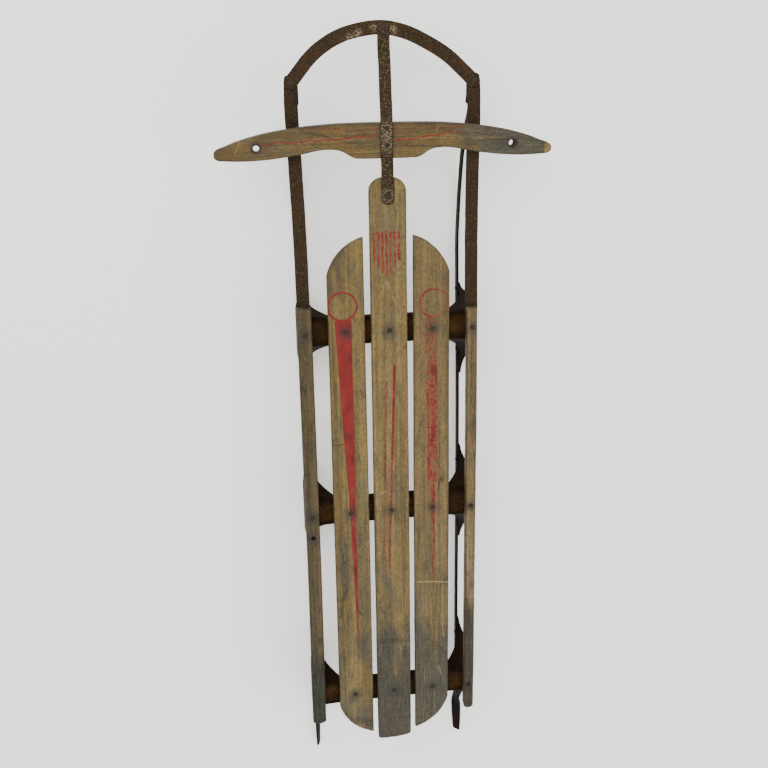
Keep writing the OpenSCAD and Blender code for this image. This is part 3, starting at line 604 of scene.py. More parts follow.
railRightWood = weatheredBoard("weatheredAshRailRight", woodBase | {
    "offset": (0.9, 0.9, 0.1), "dark": "#5f4c2c", "middle": "#826c45", "light": "#a08a64", "greyDark": "#2e2a22",
    "grey": "#474234", "greyLight": "#605949", "greyFrom": -0.2, "greyTo": -0.5, "greyLeast": -0.3, "greyMost": 1.0,
    "dirt": 0.5, "rimColour": "#40321f",
    "marks": [(142, 200, 143, 60, 0.8, crack, 0.6), (140, -280, 141, -420, 0.8, crack, 0.6),
              (147, 0, 146, -100, 0.8, pale, 0.4)]})
barWood = weatheredBoard("weatheredAshSteeringBar", woodBase | {
    "offset": (0.4, 0.6, 0.9), "turn": math.pi / 2, "dark": "#48381d", "middle": "#6c562c", "light": "#87703b",
    "greyAxis": "X", "greyFrom": 0.05, "greyTo": 0.22, "greyLeast": -0.1, "greyMost": 0.5, "dirt": 0.6,
    "dirtColour": "#33291a", "rimColour": "#2f2617",
    "marks": [(-137, 546, -40, 522, 2.6, "#2b2214", 0.7), (-60, 540, -30, 512, 6, "#3b3b33", 0.5),
              (-231, 534, -240, 510, 1.2, pale, 0.5), (-200, 528, -120, 536, 1.0, crack, 0.5),
              (-90, 512, -58, 498, 1.2, crack, 0.6), (120, 545, 135, 525, 10, "#37372f", 0.55),
              (266, 502, 270, 520, 8, "#96783f", 0.9), (160, 525, 215, 510, 9, "#3e3d33", 0.5),
              (-262, 512, -190, 532, 22, "#4a3a1f", 0.65), (-190, 532, -110, 545, 20, "#4a3a22", 0.5),
              (30, 520, 85, 517, 0.9, crack, 0.6)],
    "paint": [pinstripe | {"from": -0.20, "to": -0.012, "centre": (0.5265, 0.5365), "half": (0.0014, 0.0012),
                           "fade": (-0.20, -0.012), "left": (0.49, 0.56)},
              pinstripe | {"from": 0.016, "to": 0.125, "centre": (0.5275, 0.5405), "half": (0.0014, 0.0014),
                           "fade": (0.016, 0.125), "left": (0.58, 0.5)},
              pinstripe | {"from": -0.18, "to": 0.125, "centre": (0.5475, 0.5475), "half": (0.001, 0.001),
                           "fade": (-0.18, 0.125), "left": (0.47, 0.49)}]})

steelBase = {"dark": "#1a1209", "middle": "#2b1f10", "light": "#3f301b", "warm": "#33230e", "warmShare": 0.5,
             "dust": "#5f4d31", "dustShare": 0.4, "rimLeast": 0.1, "enamel": "#120c07", "enamelFrom": 0.6,
             "rimColour": "#1a110a", "rimShare": 0.75, "rough": 0.8, "enamelRough": 0.6, "shine": 0.2,
             "offset": (0, 0, 0), "bump": 0.6}
strapSteel = rustedSteel("rustedSteelStrap", steelBase)
bowSteel = rustedSteel("rustedSteelBow", steelBase | {"warm": "#40290f", "offset": (0.3, 0.1, 0.0)})
tongueSteel = rustedSteel("rustedSteelTongue",
                          steelBase | {"offset": (0.7, 0.2, 0.5), "dust": "#85755a", "dustShare": 0.6})
runnerSteel = rustedSteel("rustedSteelRunner", steelBase | {
    "dark": "#0a0604", "middle": "#160d07", "light": "#281b11", "warm": "#26150a", "dust": "#3b2d20",
    "dustShare": 0.35, "enamel": "#0a0604", "enamelFrom": 0.5, "shine": 0.08})
# the bench's near-black rimColour, with rimLeast and rimShare set high, is painted shade over its flanks, legs and
# the edges of its top
benchSteelPaintedShade = rustedSteel("rustedSteelBenchPaintedShade", steelBase | {
    "dark": "#160d04", "middle": "#261607", "light": "#3b280e", "warm": "#432b0c", "warmShare": 0.75,
    "dust": "#51422d", "dustShare": 0.3, "enamel": "#0c0704", "enamelFrom": 0.62, "rimColour": "#120702",
    "rimLeast": 0.65, "rimShare": 0.97, "rough": 0.7, "bump": 0.35, "shine": 0.06})
rivetSteel = rustedSteel("rustedSteelRivet", steelBase | {
    "dark": "#1b1511", "middle": "#2e2520", "light": "#473c32", "warm": "#352417", "dust": "#5f5243",
    "dustShare": 0.4, "bump": 0.3})
print("materials ready")


def rivetStain(points, places, size):
    # 1 at each rivet, falling off as exp(-(distance / size)^2)
    flat = points[:, None, :2] - np.array(places)[None]
    return np.exp(-(flat ** 2).sum(2) / size ** 2).max(1)


slatLow, slatHigh, slatMiddle = nodeBox("slat_right")
centreLow, centreHigh = nodeBox("slat_centre")[:2]
slatSettings = {"width": slatHigh[0] - slatLow[0], "thick": slatHigh[2] - slatLow[2], "pitch": slatMiddle[0],
                "outer": (slatLow[1] - yMid, slatHigh[1] - yMid),           # rear and front stations
                "centre": (centreLow[1] - yMid, centreHigh[1] - yMid),
                "cutBack": 64.0, "endRadius": 90.0,                         # the outer slats' round ends
                "nose": 24.0, "tail": 7.0, "skew": 2.2,                     # the centre slat's round ends
                "rivetX": 74.0, "edge": 2.4, "cup": 0.5, "step": 1.5, "rows": 300}


def arcBetween(a, b, r):
    # Points from a to b on a circle of radius r that bulges to the left of the way.
    a, b = np.array(a, float), np.array(b, float)
    d = b - a
    chord = np.linalg.norm(d)
    middle = (a + b) / 2 + np.array([d[1], -d[0]]) / chord * math.sqrt(r * r - chord * chord / 4)
    start = math.atan2(*(a - middle)[::-1])
    t = start - 2 * math.asin(chord / 2 / r) * np.linspace(0, 1, 60)
    return middle + r * np.stack([np.cos(t), np.sin(t)], 1)


def makeSlat(name, side, material, seed, s=slatSettings):
    half = s["width"] / 2
    middle = side * s["pitch"]
    if side:
        tail, nose = s["outer"]
        front = arcBetween((0, nose), (s["width"], nose - s["cutBack"]), s["endRadius"])
        rear = arcBetween((s["width"], tail + s["cutBack"]), (0, tail), s["endRadius"])[::-1]
        inward = lambda x: side * (x - middle) + half          # 0 at the slat's inner edge
        frontEdge = lambda x: np.interp(inward(x), front[:, 0], front[:, 1])
        rearEdge = lambda x: np.interp(inward(x), rear[:, 0], rear[:, 1])
    else:
        shoulder = lambda x, power: 1 - np.maximum(0, 1 - (np.abs(x) / half) ** power) ** (1 / power)
        frontEdge = lambda x: s["centre"][1] - s["nose"] * shoulder(x, 2.3)
        rearEdge = lambda x: s["centre"][0] + s["tail"] * shoulder(x, 3) + s["skew"] * x / half
    ragged = lambda x, k: 0.35 * layeredNoise(np.stack([x, 0 * x, 0 * x], -1), 9, seed + k)
    rivets = [(side * s["rivetX"], station + yMid) for station in benchStations]

    def relief(points, face):
        # cupping across, ridges of late wood along, dents by the rivets, and a few knocks
        x, y = points[:, 0] - middle, points[:, 1]
        cup = -s["cup"] * (x / half) ** 2 * face
        ridges = 0.10 * layeredNoise(np.c_[x, y / 40, 0 * x + face * 9], 3.2, seed, 2)
        knocks = -0.35 * np.maximum(0, layeredNoise(np.c_[x, y, 0 * x + face * 40], 30, seed + 3) - 0.35)
        sunk = -0.55 * rivetStain(points, rivets, 7.0) if face > 0 else 0
        return cup + ridges + knocks + sunk

    cuts = evenCuts(middle - half, middle + half, s["edge"], s["step"])
    points, faces, rim = plank(lambda x: rearEdge(x) + ragged(x, 1) + yMid,
                               lambda x: frontEdge(x) + ragged(x, 2) + yMid,
                               cuts, s["thick"], s["edge"], s["rows"], relief=relief)
    # the slats' long edges are a little narrower towards the front, where hands have worn them
    ahead = smoothStep((points[:, 1] + 250) / 650)
    points[:, 0] = middle + (points[:, 0] - middle) * (1 - 0.030 * ahead)
    wavy = 0.25 * layeredNoise(np.c_[points[:, 1], 0 * rim, 0 * rim + side], 60, seed + 8)
    points[:, 0] += wavy * np.sign(points[:, 0] - middle)
    stain = rivetStain(points, rivets, 13.0) * 0.75
    points[:, 2] += deckTop - s["thick"] / 2
    buildPiece(name, points, faces, material, "sled_frame", [name],
               {"rim": smoothStep(1 - rim / 3.0), "stain": np.where(points[:, 2] > deckTop - 5, stain, 0)})


makeSlat("slat_left", -1, slatLeftWood, 11)
makeSlat("slat_centre", 0, slatCentreWood, 23)
makeSlat("slat_right", 1, slatRightWood, 37)
print("slats ready")


railSettings = {"edge": 3.2, "step": 1.3, "rows": 260,
                "rebateBehind": 15.5, "rebate": 4.0}      # the step over the strap: behind the pivot, and its depth


def makeRail(name, side, material, seed, clip, holes, bend, s=railSettings):
    low, high, _ = nodeBox(name)
    middle, half, thick = side * railX, (high[0] - low[0]) / 2, high[2] - low[2]
    corner = lambda x, power: 1 - np.maximum(0, 1 - (np.abs(x - middle) / half) ** power) ** (1 / power)
    ragged = lambda x, k: 0.4 * layeredNoise(np.stack([x, 0 * x, 0 * x], -1), 5, seed + k)
    rearEdge = lambda x: low[1] + clip[0] * corner(x, clip[1]) + ragged(x, 0)
    frontEdge = lambda x: high[1] - clip[2] * corner(x, 3) + ragged(x, 1)
    rivets = [(middle, station + yMid) for station in benchStations]
    stains = rivets + [(middle, hole["q"]) for hole in holes]
    rebateFrom = benchStations[0] - s["rebateBehind"] + yMid

    def relief(points, face):
        x, y = points[:, 0], points[:, 1]
        ridges = 0.12 * layeredNoise(np.c_[x, y / 45, 0 * x + face * 9], 3.0, seed, 2)
        knocks = -0.9 * np.maximum(0, layeredNoise(np.c_[x, y / 1.5, 0 * x + face * 40], 16, seed + 3) - 0.3)
        sunk = -0.7 * rivetStain(points, rivets, 7.0) if face > 0 else 0
        return ridges + knocks + sunk

    cuts = evenCuts(middle - half, middle + half, s["edge"], s["step"])
    points, faces, rim = plank(rearEdge, frontEdge, cuts, thick, s["edge"], s["rows"], holes, relief)
    # the underside steps up at the front, over the strap
    points[:, 2] += np.where(points[:, 2] < 0, s["rebate"] * smoothStep((points[:, 1] - rebateFrom) / 2.5), 0)
    wavy = 0.3 * layeredNoise(np.c_[points[:, 1], 0 * rim, points[:, 0] > middle], 45, seed + 8)
    points[:, 0] += smoothCurve(bend, points[:, 1] - yMid) + wavy
    stain = rivetStain(points, stains, 12.0) * 0.8
    points[:, 2] += benchTop + thick / 2
    upper = points[:, 2] > benchTop + thick / 2 - 2
    buildPiece(name, points, faces, material, "sled_frame", [name],
               {"rim": smoothStep(1 - rim / 3.5), "stain": np.where(upper, stain, 0)})


makeRail("rail_left", -1, railLeftWood, 41, (5.0, 1.6, 1.5),
         [{"p": -railX, "q": -40 + yMid, "r": 3.4, "mouth": 4.3, "deep": 1.2}],
         [(-440, -1.4), (-250, 0.0), (0, 0.5), (200, 0.2), (390, 0.0)])
makeRail("rail_right", 1, railRightWood, 53, (7.0, 2.2, 5.0), [],
         [(-440, 1.0), (-200, 0.8), (0, 0.4), (200, 0.0), (380, -1.5)])
print("rails ready")


# How far each runner has been knocked in or out of line, by station.
runnerSway = {-1: [(-590, 0.2), (-300, 0), (200, -0.8), (450, -2.2), (560, -0.6), (660, 1.0), (725, 4.0), (760, 4.0)],
              1: [(-590, 3.4), (-508, 1.2), (-380, 0), (0, -0.5), (190, -1.3), (400, -3.6), (475, -4.0),
                  (530, -1.8), (570, -0.4), (660, 1.0), (725, 4.0), (760, 4.0)]}


def swayAt(side, station):
    return np.where(side < 0, smoothCurve(runnerSway[-1], station), smoothCurve(runnerSway[1], station))


benchSettings = {"topWidth": 45.0, "sheet": 2.0, "skirt": 9.0, "frontLean": 0.5, "rearLean": 0.52, "rearFlare": 50.0,
                 "bulge": 6.0, "drop": 95.0, "gusset": 12.0, "gussetDrop": 7.0, "fold": 3.2, "wall": 144.65,
                 "feet": (-75.6, 38.0), "footRivet": 13.0}


def benchSurface(s=benchSettings):
    # One sheet over the arch: along it from foot to foot, and across it from the front skirt's free edge,
    # over the flat top or the leg's wall, to the rear skirt's free edge. Folds are quadratic curves.
    drop, wall = s["drop"], s["wall"]
    depth = np.linspace(0, drop + 19, 60)
    u = np.minimum(1, depth / (drop - 8))
    legX = wall + 2.2 + 4.6 * (1 - u) + s["bulge"] * np.sin(math.pi * u)
    outer = np.vstack([[[0, 0]], np.stack([legX, depth], 1)])
    outer = softPath(outer, 15, 1.5)
    length = np.r_[0, np.cumsum(np.linalg.norm(np.diff(outer, axis=0), axis=1))]
    v = np.linspace(0, 1, 50)
    innerX = wall - 4 - (wall * 0.32 - 4) * (1 - v) ** 2.2
    inner = np.vstack([[[0, s["skirt"]]], np.stack([innerX, s["skirt"] + (drop - s["skirt"]) * v], 1)])
    innerLength = np.r_[0, np.cumsum(np.linalg.norm(np.diff(inner, axis=0), axis=1))]
    match = np.interp(length, [0, 112, 151 + drop, length[-1]], [0, innerLength[1], innerLength[-1], innerLength[-1]])
    free = np.stack([np.interp(match, innerLength, column) for column in inner.T], 1)
    below = smoothStep((outer[:, 1] - drop + 6) / 6)[:, None]
    free = free * (1 - below) + (outer - [0.8, 0]) * below

    down = lambda d: np.clip(d / drop, 0, 1)
    flankFront = lambda d: s["topWidth"] / 2 + s["frontLean"] * drop * down(d) + 6 * down(d) ** 8
    flankRear = lambda d: s["topWidth"] / 2 + s["rearLean"] * drop * down(d) + s["rearFlare"] * down(d) ** 3
    toe = 5 * smoothStep((outer[:, 1] - drop - 12) / 8)
    # a gusset: a shallow facet that opens between the flat top and the front skirt, towards each leg
    frontOpen = np.interp(length, [0, 96, 140, 175, 215, length[-1]], [0.04, 0.06, 1.0, 0.75, 0.1, 0.0])
    rearOpen = np.interp(length, [0, 96, 138, 170, 200, length[-1]], [0.04, 0.06, 0.45, 0.35, 0.05, 0.0])
    x, d, fx, fd = outer[:, 0], outer[:, 1], free[:, 0], free[:, 1]
    pull = np.interp(length, [0, 140, 175, 300], [0, 0, 1, 1])     # on the leg, the facet turns inwards
    sag = np.interp(length, [0, 140, 175, 300], [1, 1, 0.2, 0])
    front = [np.stack([fx, flankFront(fd), -fd], 1),
             np.stack([x - pull * frontOpen * s["gussetDrop"], flankFront(d) + frontOpen * s["gusset"] * 0.9 - toe,
                       -d - sag * frontOpen * s["gussetDrop"]], 1),
             np.stack([x, flankFront(d) - 1.5 - toe, -d], 1)]
    rear = [np.stack([x, -flankRear(d) + 1.5 + toe, -d], 1),
            np.stack([x - pull * rearOpen * 5, -flankRear(d) - rearOpen * 9 + toe, -d - sag * rearOpen * 5], 1),
            np.stack([fx, -flankRear(fd), -fd], 1)]
    controls = np.stack(front + rear, 1)
    pieces = []
    count = controls.shape[1]
    for k in range(count - 1):
        a, b = controls[:, k], controls[:, k + 1]
        gap = np.maximum(np.linalg.norm(b - a, axis=1, keepdims=True), 1e-6)
        fold = np.minimum(s["fold"], gap * 0.42)
        start = a if k == 0 else a + (b - a) / gap * fold
        end = b if k == count - 2 else b + (a - b) / gap * fold
        t = np.linspace(0, 1, 14 if k == 2 else 9)
        pieces.append(start[:, None] + (end - start)[:, None] * t[:, None])
        if k < count - 2:
            after = controls[:, k + 2]
            nextGap = np.maximum(np.linalg.norm(after - b, axis=1, keepdims=True), 1e-6)
            leave = b + (after - b) / nextGap * np.minimum(s["fold"], nextGap * 0.42)
            t = np.linspace(0, 1, 5)[1:-1, None]
            pieces.append((1 - t) ** 2 * end[:, None] + 2 * t * (1 - t) * b[:, None] + t ** 2 * leave[:, None])
    half = np.concatenate(pieces, 1)
    mirrored = half[:0:-1] * [-1, 1, 1]
    return np.concatenate([mirrored, half], 0)


def makeBench(name, station, seed, ease, s=benchSettings):
    surface = benchSurface(s)
    rows, columns = surface.shape[:2]
    points = surface.reshape(-1, 3).copy()
    # ease draws the front flanks back: the front bench's feet are shorter there
    points[:, 1] -= (1 - ease) * np.maximum(0, points[:, 1] - s["topWidth"] / 2)
    # the feet follow the runner
    side = np.sign(points[:, 0])
    points[:, 0] += side * swayAt(side, points[:, 1] + station) * smoothStep((-points[:, 2] - 40) / 50)
    points[:, 2] += 0.25 * layeredNoise(points + 100 * seed, 26, seed)
    points[:, 1] += 0.3 * layeredNoise(points + 30 * seed, 30, seed + 5)
    # painted shade: darker over the fore and aft edges of the top, the flanks and the legs, which turn away from the
    # light, leaving the middle of the top lighter as a painted highlight along its crown
    edge = smoothStep((np.abs(points[:, 1]) - 9) / 14) + smoothStep((-points[:, 2] - 6) / 25)
    points += [0, station + yMid, benchTop]
    piece = buildPiece(name, points, gridFaces(rows, columns), benchSteelPaintedShade, None, [name],
                       {"rim": np.minimum(1, edge)}, closed=False)
    # thickness goes inwards, away from the outer face
    up = sum(polygon.normal.z * polygon.area for polygon in piece.data.polygons)
    if up < 0:
        piece.data.flip_normals()
    solid = piece.modifiers.new("sheet", "SOLIDIFY")
    solid.thickness = s["sheet"] * mm
    solid.offset = -1
    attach(piece, "sled_frame")


for bench, station, seed, ease in zip(benches, benchStations, (3, 7, 12), (0.5, 0.9, 1.0)):
    makeBench(bench, station, seed, ease)
print("benches ready")


tabCorner = nodeBox("runner_front_right")[1]
runnerSettings = {"height": stripWidth, "thick": stripThick, "tail": nodeBox("runner_right")[0][1] - yMid,
                  "tailStart": -508.0, "tipHeight": (12.0, 16.0),                            # left and right
                  "twist": (21.0, 44.0), "twistFrom": -482.0, "twistTo": -520.0,             # degrees, and stations
                  "sweepStart": 525.0, "sweepRadius": 249.0, "bendRadius": 35.0,
                  "tabHeight": tabCorner[2] - stripThick / 2, "tabEnd": tabCorner[1] - yMid, "edge": 1.1}


def runnerLine(side, s=runnerSettings):
    # The strip's centreline as rows of x, y, z, heading, twist and width.
    tail = np.linspace(0, 1, 40)
    tip = s["tipHeight"][side > 0]
    width = tip + (s["height"] - tip) * (1 - (1 - tail) ** 2)
    station = s["tail"] + (s["tailStart"] - s["tail"]) * tail
    full, turn = math.radians(s["twist"][side > 0]), s["twistFrom"] - s["twistTo"]
    twistAt = lambda y: full * smoothStep((s["twistFrom"] - y) / turn)
    lean = twistAt(station)
    rise = width / 2 * np.cos(lean) + s["thick"] / 2 * np.sin(lean)
    rows = [np.stack([station, rise, 0 * tail, lean, width], 1)]
    straight = np.linspace(s["tailStart"] + 5, s["sweepStart"] - 5, 160)
    level = 0 * straight
    rows.append(np.stack([straight, level + s["height"] / 2, level, twistAt(straight), level + s["height"]], 1))
    both = s["sweepRadius"] + s["bendRadius"]
    angle = math.acos(1 - (s["tabHeight"] - s["height"] / 2) / both)
    # the sweep up, which begins to twist flat near its top, and the bend back to level
    a = np.linspace(0, angle, 90)
    rows.append(np.stack([s["sweepStart"] + s["sweepRadius"] * np.sin(a),
                          s["height"] / 2 + s["sweepRadius"] * (1 - np.cos(a)), a,
                          math.pi / 2 * smoothStep((a / angle - 0.86) / 0.5), 0 * a + s["height"]], 1))
    b = np.linspace(angle, 0, 30)[1:]
    tabStart = s["sweepStart"] + both * math.sin(angle)
    rows.append(np.stack([tabStart - s["bendRadius"] * np.sin(b),
                          s["tabHeight"] - s["bendRadius"] * (1 - np.cos(b)), b,
                          math.pi / 2 * smoothStep((0.14 + 0.5 * (1 - b / angle)) / 0.5), 0 * b + s["height"]], 1))
    rows.append(np.array([[s["tabEnd"], s["tabHeight"], 0, math.pi / 2, s["height"]]]))
    line = np.vstack(rows)
    return np.c_[railX + smoothCurve(runnerSway[side], line[:, 0]), line]


def makeRunner(name, side, seed, s=runnerSettings):
    line = runnerLine(side)
    length = np.r_[0, np.cumsum(np.linalg.norm(np.diff(line[:, :3], axis=0), axis=1))]
    corner = lambda p: 3.0 * (1 - np.maximum(0, 1 - (np.abs(p) / (s["height"] / 2)) ** 3) ** (1 / 3))
    cuts = evenCuts(-s["height"] / 2, s["height"] / 2, s["edge"], 1.6)
    pitted = lambda points, face: 0.13 * layeredNoise(np.c_[points[:, :2], points[:, 2] * 0 + face * 20], 3.5, seed)
    points, faces, rim = plank(lambda p: corner(p), lambda p: length[-1] - 2.8 * corner(p), cuts, s["thick"],
                               s["edge"], 560, relief=pitted)
    p, q, t = points.T
    x, y, z, heading, twist, width = (np.interp(q, length, column) for column in line.T)
    p = p * width / s["height"]
    # worn thinner towards the sole
    t = t * (1 - 0.25 * smoothStep((-p / width * 2 - 0.2) / 0.8) * (twist < 0.3))
    up = np.stack([0 * q, -np.sin(heading), np.cos(heading)], 1)
    out = np.stack([1 + 0 * q, 0 * q, 0 * q], 1)
    c, n = np.cos(twist)[:, None], np.sin(twist)[:, None]
    across, normal = c * up + n * out, c * out - n * up
    placed = np.stack([x, y + yMid, z], 1) + across * p[:, None] + normal * t[:, None]
    placed[:, 0] *= side
    placed[:, 2] = np.maximum(placed[:, 2], 0.0)
    piece = buildPiece(name, placed, faces, runnerSteel, None,
                       [name, "runner_front_left" if side < 0 else "runner_front_right"],
                       {"rim": smoothStep(1 - rim / 1.6)})
    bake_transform(piece)


makeRunner("runner_left", -1, 61)
makeRunner("runner_right", 1, 67)
print("runners ready")


stripSettings = {"width": stripWidth, "thick": stripThick, "gap": 0.35, "edge": 1.0, "step": 1.6}
# heights of the strips' middles: the strap on the bench and on the runner's tab, and the bow on the strap
strapZ = benchTop + stripSettings["gap"] + stripThick / 2
noseZ = tabCorner[2] + stripThick / 2
bowZ = noseZ + stripThick + stripSettings["gap"]


def pitting(seed, strength=0.14):
    # rust pits about 4 mm apart, on shallow dents about 22 mm apart
    onFace = lambda points, z: np.c_[points[:, :2], 0 * points[:, 2] + z]
    return lambda points, face: (strength * layeredNoise(onFace(points, face * 30), 4.0, seed)
                                 + 0.12 * layeredNoise(onFace(points, face * 70), 22, seed + 4))


def bendUp(points, path):
    # Carries (p, q, t) along a path of (y, z): q along it, p across it along x, and t square to it.
    place, heading = alongPath(path, points[:, 1])
    y = place[:, 0] - heading[:, 1] * points[:, 2]
    z = place[:, 1] + heading[:, 0] * points[:, 2]
    return np.stack([points[:, 0], y, z], 1)


def makeStrap(name, side, body, lean, seed, s=stripSettings):
    half, pivot = s["width"] / 2, benchStations[0]
    path = softPath([(pivot - 1, strapZ), (pivot + 28.5, strapZ), (noseStation - 33, noseZ),
                     (noseStation + 15, noseZ)], 16)
    reach = noseStation - pivot + 1.4
    low = lambda p: -np.sqrt(12.5 ** 2 - p ** 2) + 1
    high = lambda p: reach + 0.5 + np.sqrt(np.maximum((half + 0.2) ** 2 - p ** 2, 0))
    cuts = evenCuts(-half, half, s["edge"], s["step"])
    points, faces, rim = plank(low, high, cuts, s["thick"], s["edge"], 210, relief=pitting(seed))
    points[:, 0] += 0.35 * layeredNoise(np.c_[points[:, 1], 0 * rim, points[:, 0] > 0], 30, seed + 1)
    placed = bendUp(points, path)
    station = placed[:, 1].copy()
    placed[:, 1] += yMid
    placed[:, 0] = side * (smoothCurve(lean, station) + side * placed[:, 0])
    buildPiece(name, placed, faces, strapSteel, body, [name], {"rim": smoothStep(1 - rim / 1.8)})


makeStrap("strap_left", -1, "front_left",
          [(320, 143), (440, 143.4), (540, 144.5), (615, 146.2), (690, 148.2), (725, 148.2), (745, 147.4),
           (760, 147)], 71)
makeStrap("strap_right", 1, "front_right",
          [(320, 143), (440, 143), (540, 144.2), (615, 145.9), (700, 148.6), (730, 148.2), (745, 147.2),
           (760, 146.8)], 73)


def makeBow(s=stripSettings):
    half = s["width"] / 2
    rise, straight = bowStation - noseStation, 40.0
    radius = (noseX ** 2 + rise ** 2 - straight ** 2) / (2 * rise)
    centre = bowStation - radius
    tangent = math.atan2(noseStation - centre, noseX) + math.atan2(straight, radius)
    a = np.linspace(math.pi - tangent, tangent, 200)
    arc = np.stack([radius * np.cos(a), centre + radius * np.sin(a)], 1)
    line = np.vstack([[[-noseX, noseStation]], arc, [[noseX, noseStation]]])
    # the bow has been knocked: its left shoulder stands out and its right one is flattened
    outwards = line - [0, centre]
    outwards /= np.linalg.norm(outwards, axis=1, keepdims=True)
    knocked = [(-147, 0.8), (-125, 2.6), (-85, 2.8), (-30, 0.6), (0, 0), (30, -2.5), (80, -6.5), (120, -3.5),
               (147, -0.6)]
    line = line + outwards * smoothCurve(knocked, line[:, 0])[:, None]
    line = softPath(line, 8)
    length = np.linalg.norm(np.diff(line, axis=0), axis=1).sum()
    low = lambda p: -np.sqrt(np.maximum((half + 0.2) ** 2 - p ** 2, 0))
    high = lambda p: length + np.sqrt(np.maximum((half + 0.2) ** 2 - p ** 2, 0))
    cuts = evenCuts(-half, half, s["edge"], s["step"])
    points, faces, rim = plank(low, high, cuts, s["thick"], s["edge"], 230, relief=pitting(83))
    points[:, 0] += 0.3 * layeredNoise(np.c_[points[:, 1], 0 * rim, points[:, 0] > 0], 26, 84)
    place, heading = alongPath(line, points[:, 1])
    x = place[:, 0] + heading[:, 1] * points[:, 0]
    y = place[:, 1] - heading[:, 0] * points[:, 0] + yMid
    placed = np.stack([x, y, bowZ + points[:, 2]], 1)
    rubbedAt = [(-52, -16), (-40, -9), (15, -3), (-12, 0)]
    rub = rivetStain(placed, [(x, bowStation + yMid + behind) for x, behind in rubbedAt], 6.5)
    buildPiece("bumper_bow", placed, faces, bowSteel, "bow", ["bumper_bow"],
               {"rim": smoothStep(1 - rim / 1.8), "rub": 0.8 * rub * (placed[:, 2] > bowZ)})


makeBow()

barLow, barHigh = nodeBox("steering_bar")[:2]
barSettings = {"thick": barHigh[2] - barLow[2], "bottom": barLow[2], "reach": barHigh[0], "middle": 655.0,
               "edge": 3.4, "holeX": 207.0, "holeStation": 646.5, "rivets": (648, 675),
               "crownAt": 527, "crownWidth": 26}
barTop = barSettings["bottom"] + barSettings["thick"]


def makeTongue(s=stripSettings):
    half, thick, bar = nodeBox("steering_tongue")[1][0], s["thick"], barSettings["middle"]
    slatZ, overZ, bowTopZ = deckTop + s["gap"] + thick / 2, barTop + thick / 2, bowZ + thick + s["gap"]
    path = softPath([(boltStation - 15, slatZ), (boltStation + 32, slatZ), (bar - 30, overZ), (bar + 34.5, overZ),
                     (bowStation - 17, bowTopZ), (bowStation + 10.5, bowTopZ)], 9)
    length = np.linalg.norm(np.diff(path, axis=0), axis=1).sum()
    low = lambda p: half - np.sqrt(np.maximum((half + 0.3) ** 2 - p ** 2, 0))
    high = lambda p: length - 3 * (1 - np.maximum(0, 1 - (np.abs(p) / half) ** 4) ** 0.25)
    cuts = evenCuts(-half, half, s["edge"], s["step"])
    points, faces, rim = plank(low, high, cuts, thick, s["edge"], 160, relief=pitting(91, 0.17))
    points[:, 0] += 0.35 * layeredNoise(np.c_[points[:, 1], 0 * rim, points[:, 0] > 0], 24, 92)
    placed = bendUp(points, path)
    placed[:, 1] += yMid
    rubbedAt = (*barSettings["rivets"], 662, boltStation)
    rub = rivetStain(placed, [(0, station + yMid) for station in rubbedAt], 9.0)
    buildPiece("steering_tongue", placed, faces, tongueSteel, "steering", ["steering_tongue"],
               {"rim": smoothStep(1 - rim / 1.8), "rub": 0.8 * rub})


makeTongue()
print("strips ready")


def makeBar(s=barSettings):
    # The front and rear edges go through these (x, station) knots on either side, and the tips are round.
    frontKnots = [(0, 683.3), (45, 683.2), (85, 682.2), (145, 677), (207, 666.3), (245, 655), (262, 648.2),
                  (275, 646.5)]
    rearKnots = [(0, 627), (40, 627), (50, 627.6), (58, 630.8), (67, 636.6), (78, 641), (92, 642.3), (147, 634),
                 (202, 627.8), (245, 627.3), (262, 628.4), (275, 628.2)]
    both = lambda knots: [(-x, y) for x, y in knots if x] + knots
    tip = lambda x: np.sqrt(np.maximum(0, 1 - (np.maximum(0, np.abs(x) - 263.5) / 10.6) ** 2))
    centreY = lambda x: (smoothCurve(both(frontKnots), x) + smoothCurve(both(rearKnots), x)) / 2
    front = lambda x: centreY(x) + (smoothCurve(both(frontKnots), x) - centreY(x)) * tip(x)
    rear = lambda x: centreY(x) - (centreY(x) - smoothCurve(both(rearKnots), x)) * tip(x)
    cuts = roundCuts(-s["reach"], s["reach"], 31)
    cuts = np.unique(np.concatenate([cuts[:4], np.linspace(cuts[4], cuts[-5], 330), cuts[-4:]]))
    holes = [{"p": side * s["holeX"], "q": s["holeStation"] + yMid, "r": 5.2, "mouth": 8.0, "deep": 3.0}
             for side in (-1, 1)]

    def relief(points, face):
        x, y = points[:, 0], points[:, 1]
        crown = 0.5 * (1 - ((y - s["crownAt"]) / s["crownWidth"]) ** 2).clip(0, 1) * face
        ridges = 0.12 * layeredNoise(np.c_[x / 45, y, 0 * x + face * 9], 3.0, 97, 2)
        knocks = -0.8 * np.maximum(0, layeredNoise(np.c_[x / 1.4, y, 0 * x + face * 40], 20, 98) - 0.35)
        return crown - 0.5 * (face > 0) + ridges + knocks

    points, faces, rim = plank(lambda x: rear(x) + yMid, lambda x: front(x) + yMid, cuts, s["thick"], s["edge"], 34,
                               holes, relief)
    stains = rivetStain(points, [(side * s["holeX"], s["holeStation"] + yMid) for side in (-1, 1)], 11.0) * 0.6
    stains = np.maximum(stains, 0.55 * rivetStain(points, [(0, 532), (0, 543)], 15.0))
    points[:, 2] += s["bottom"] + s["thick"] / 2
    buildPiece("steering_bar", points, faces, barWood, "steering", ["steering_bar"],
               {"rim": smoothStep(1 - rim / 3.5), "stain": stains})


makeBar()
print("bar ready")


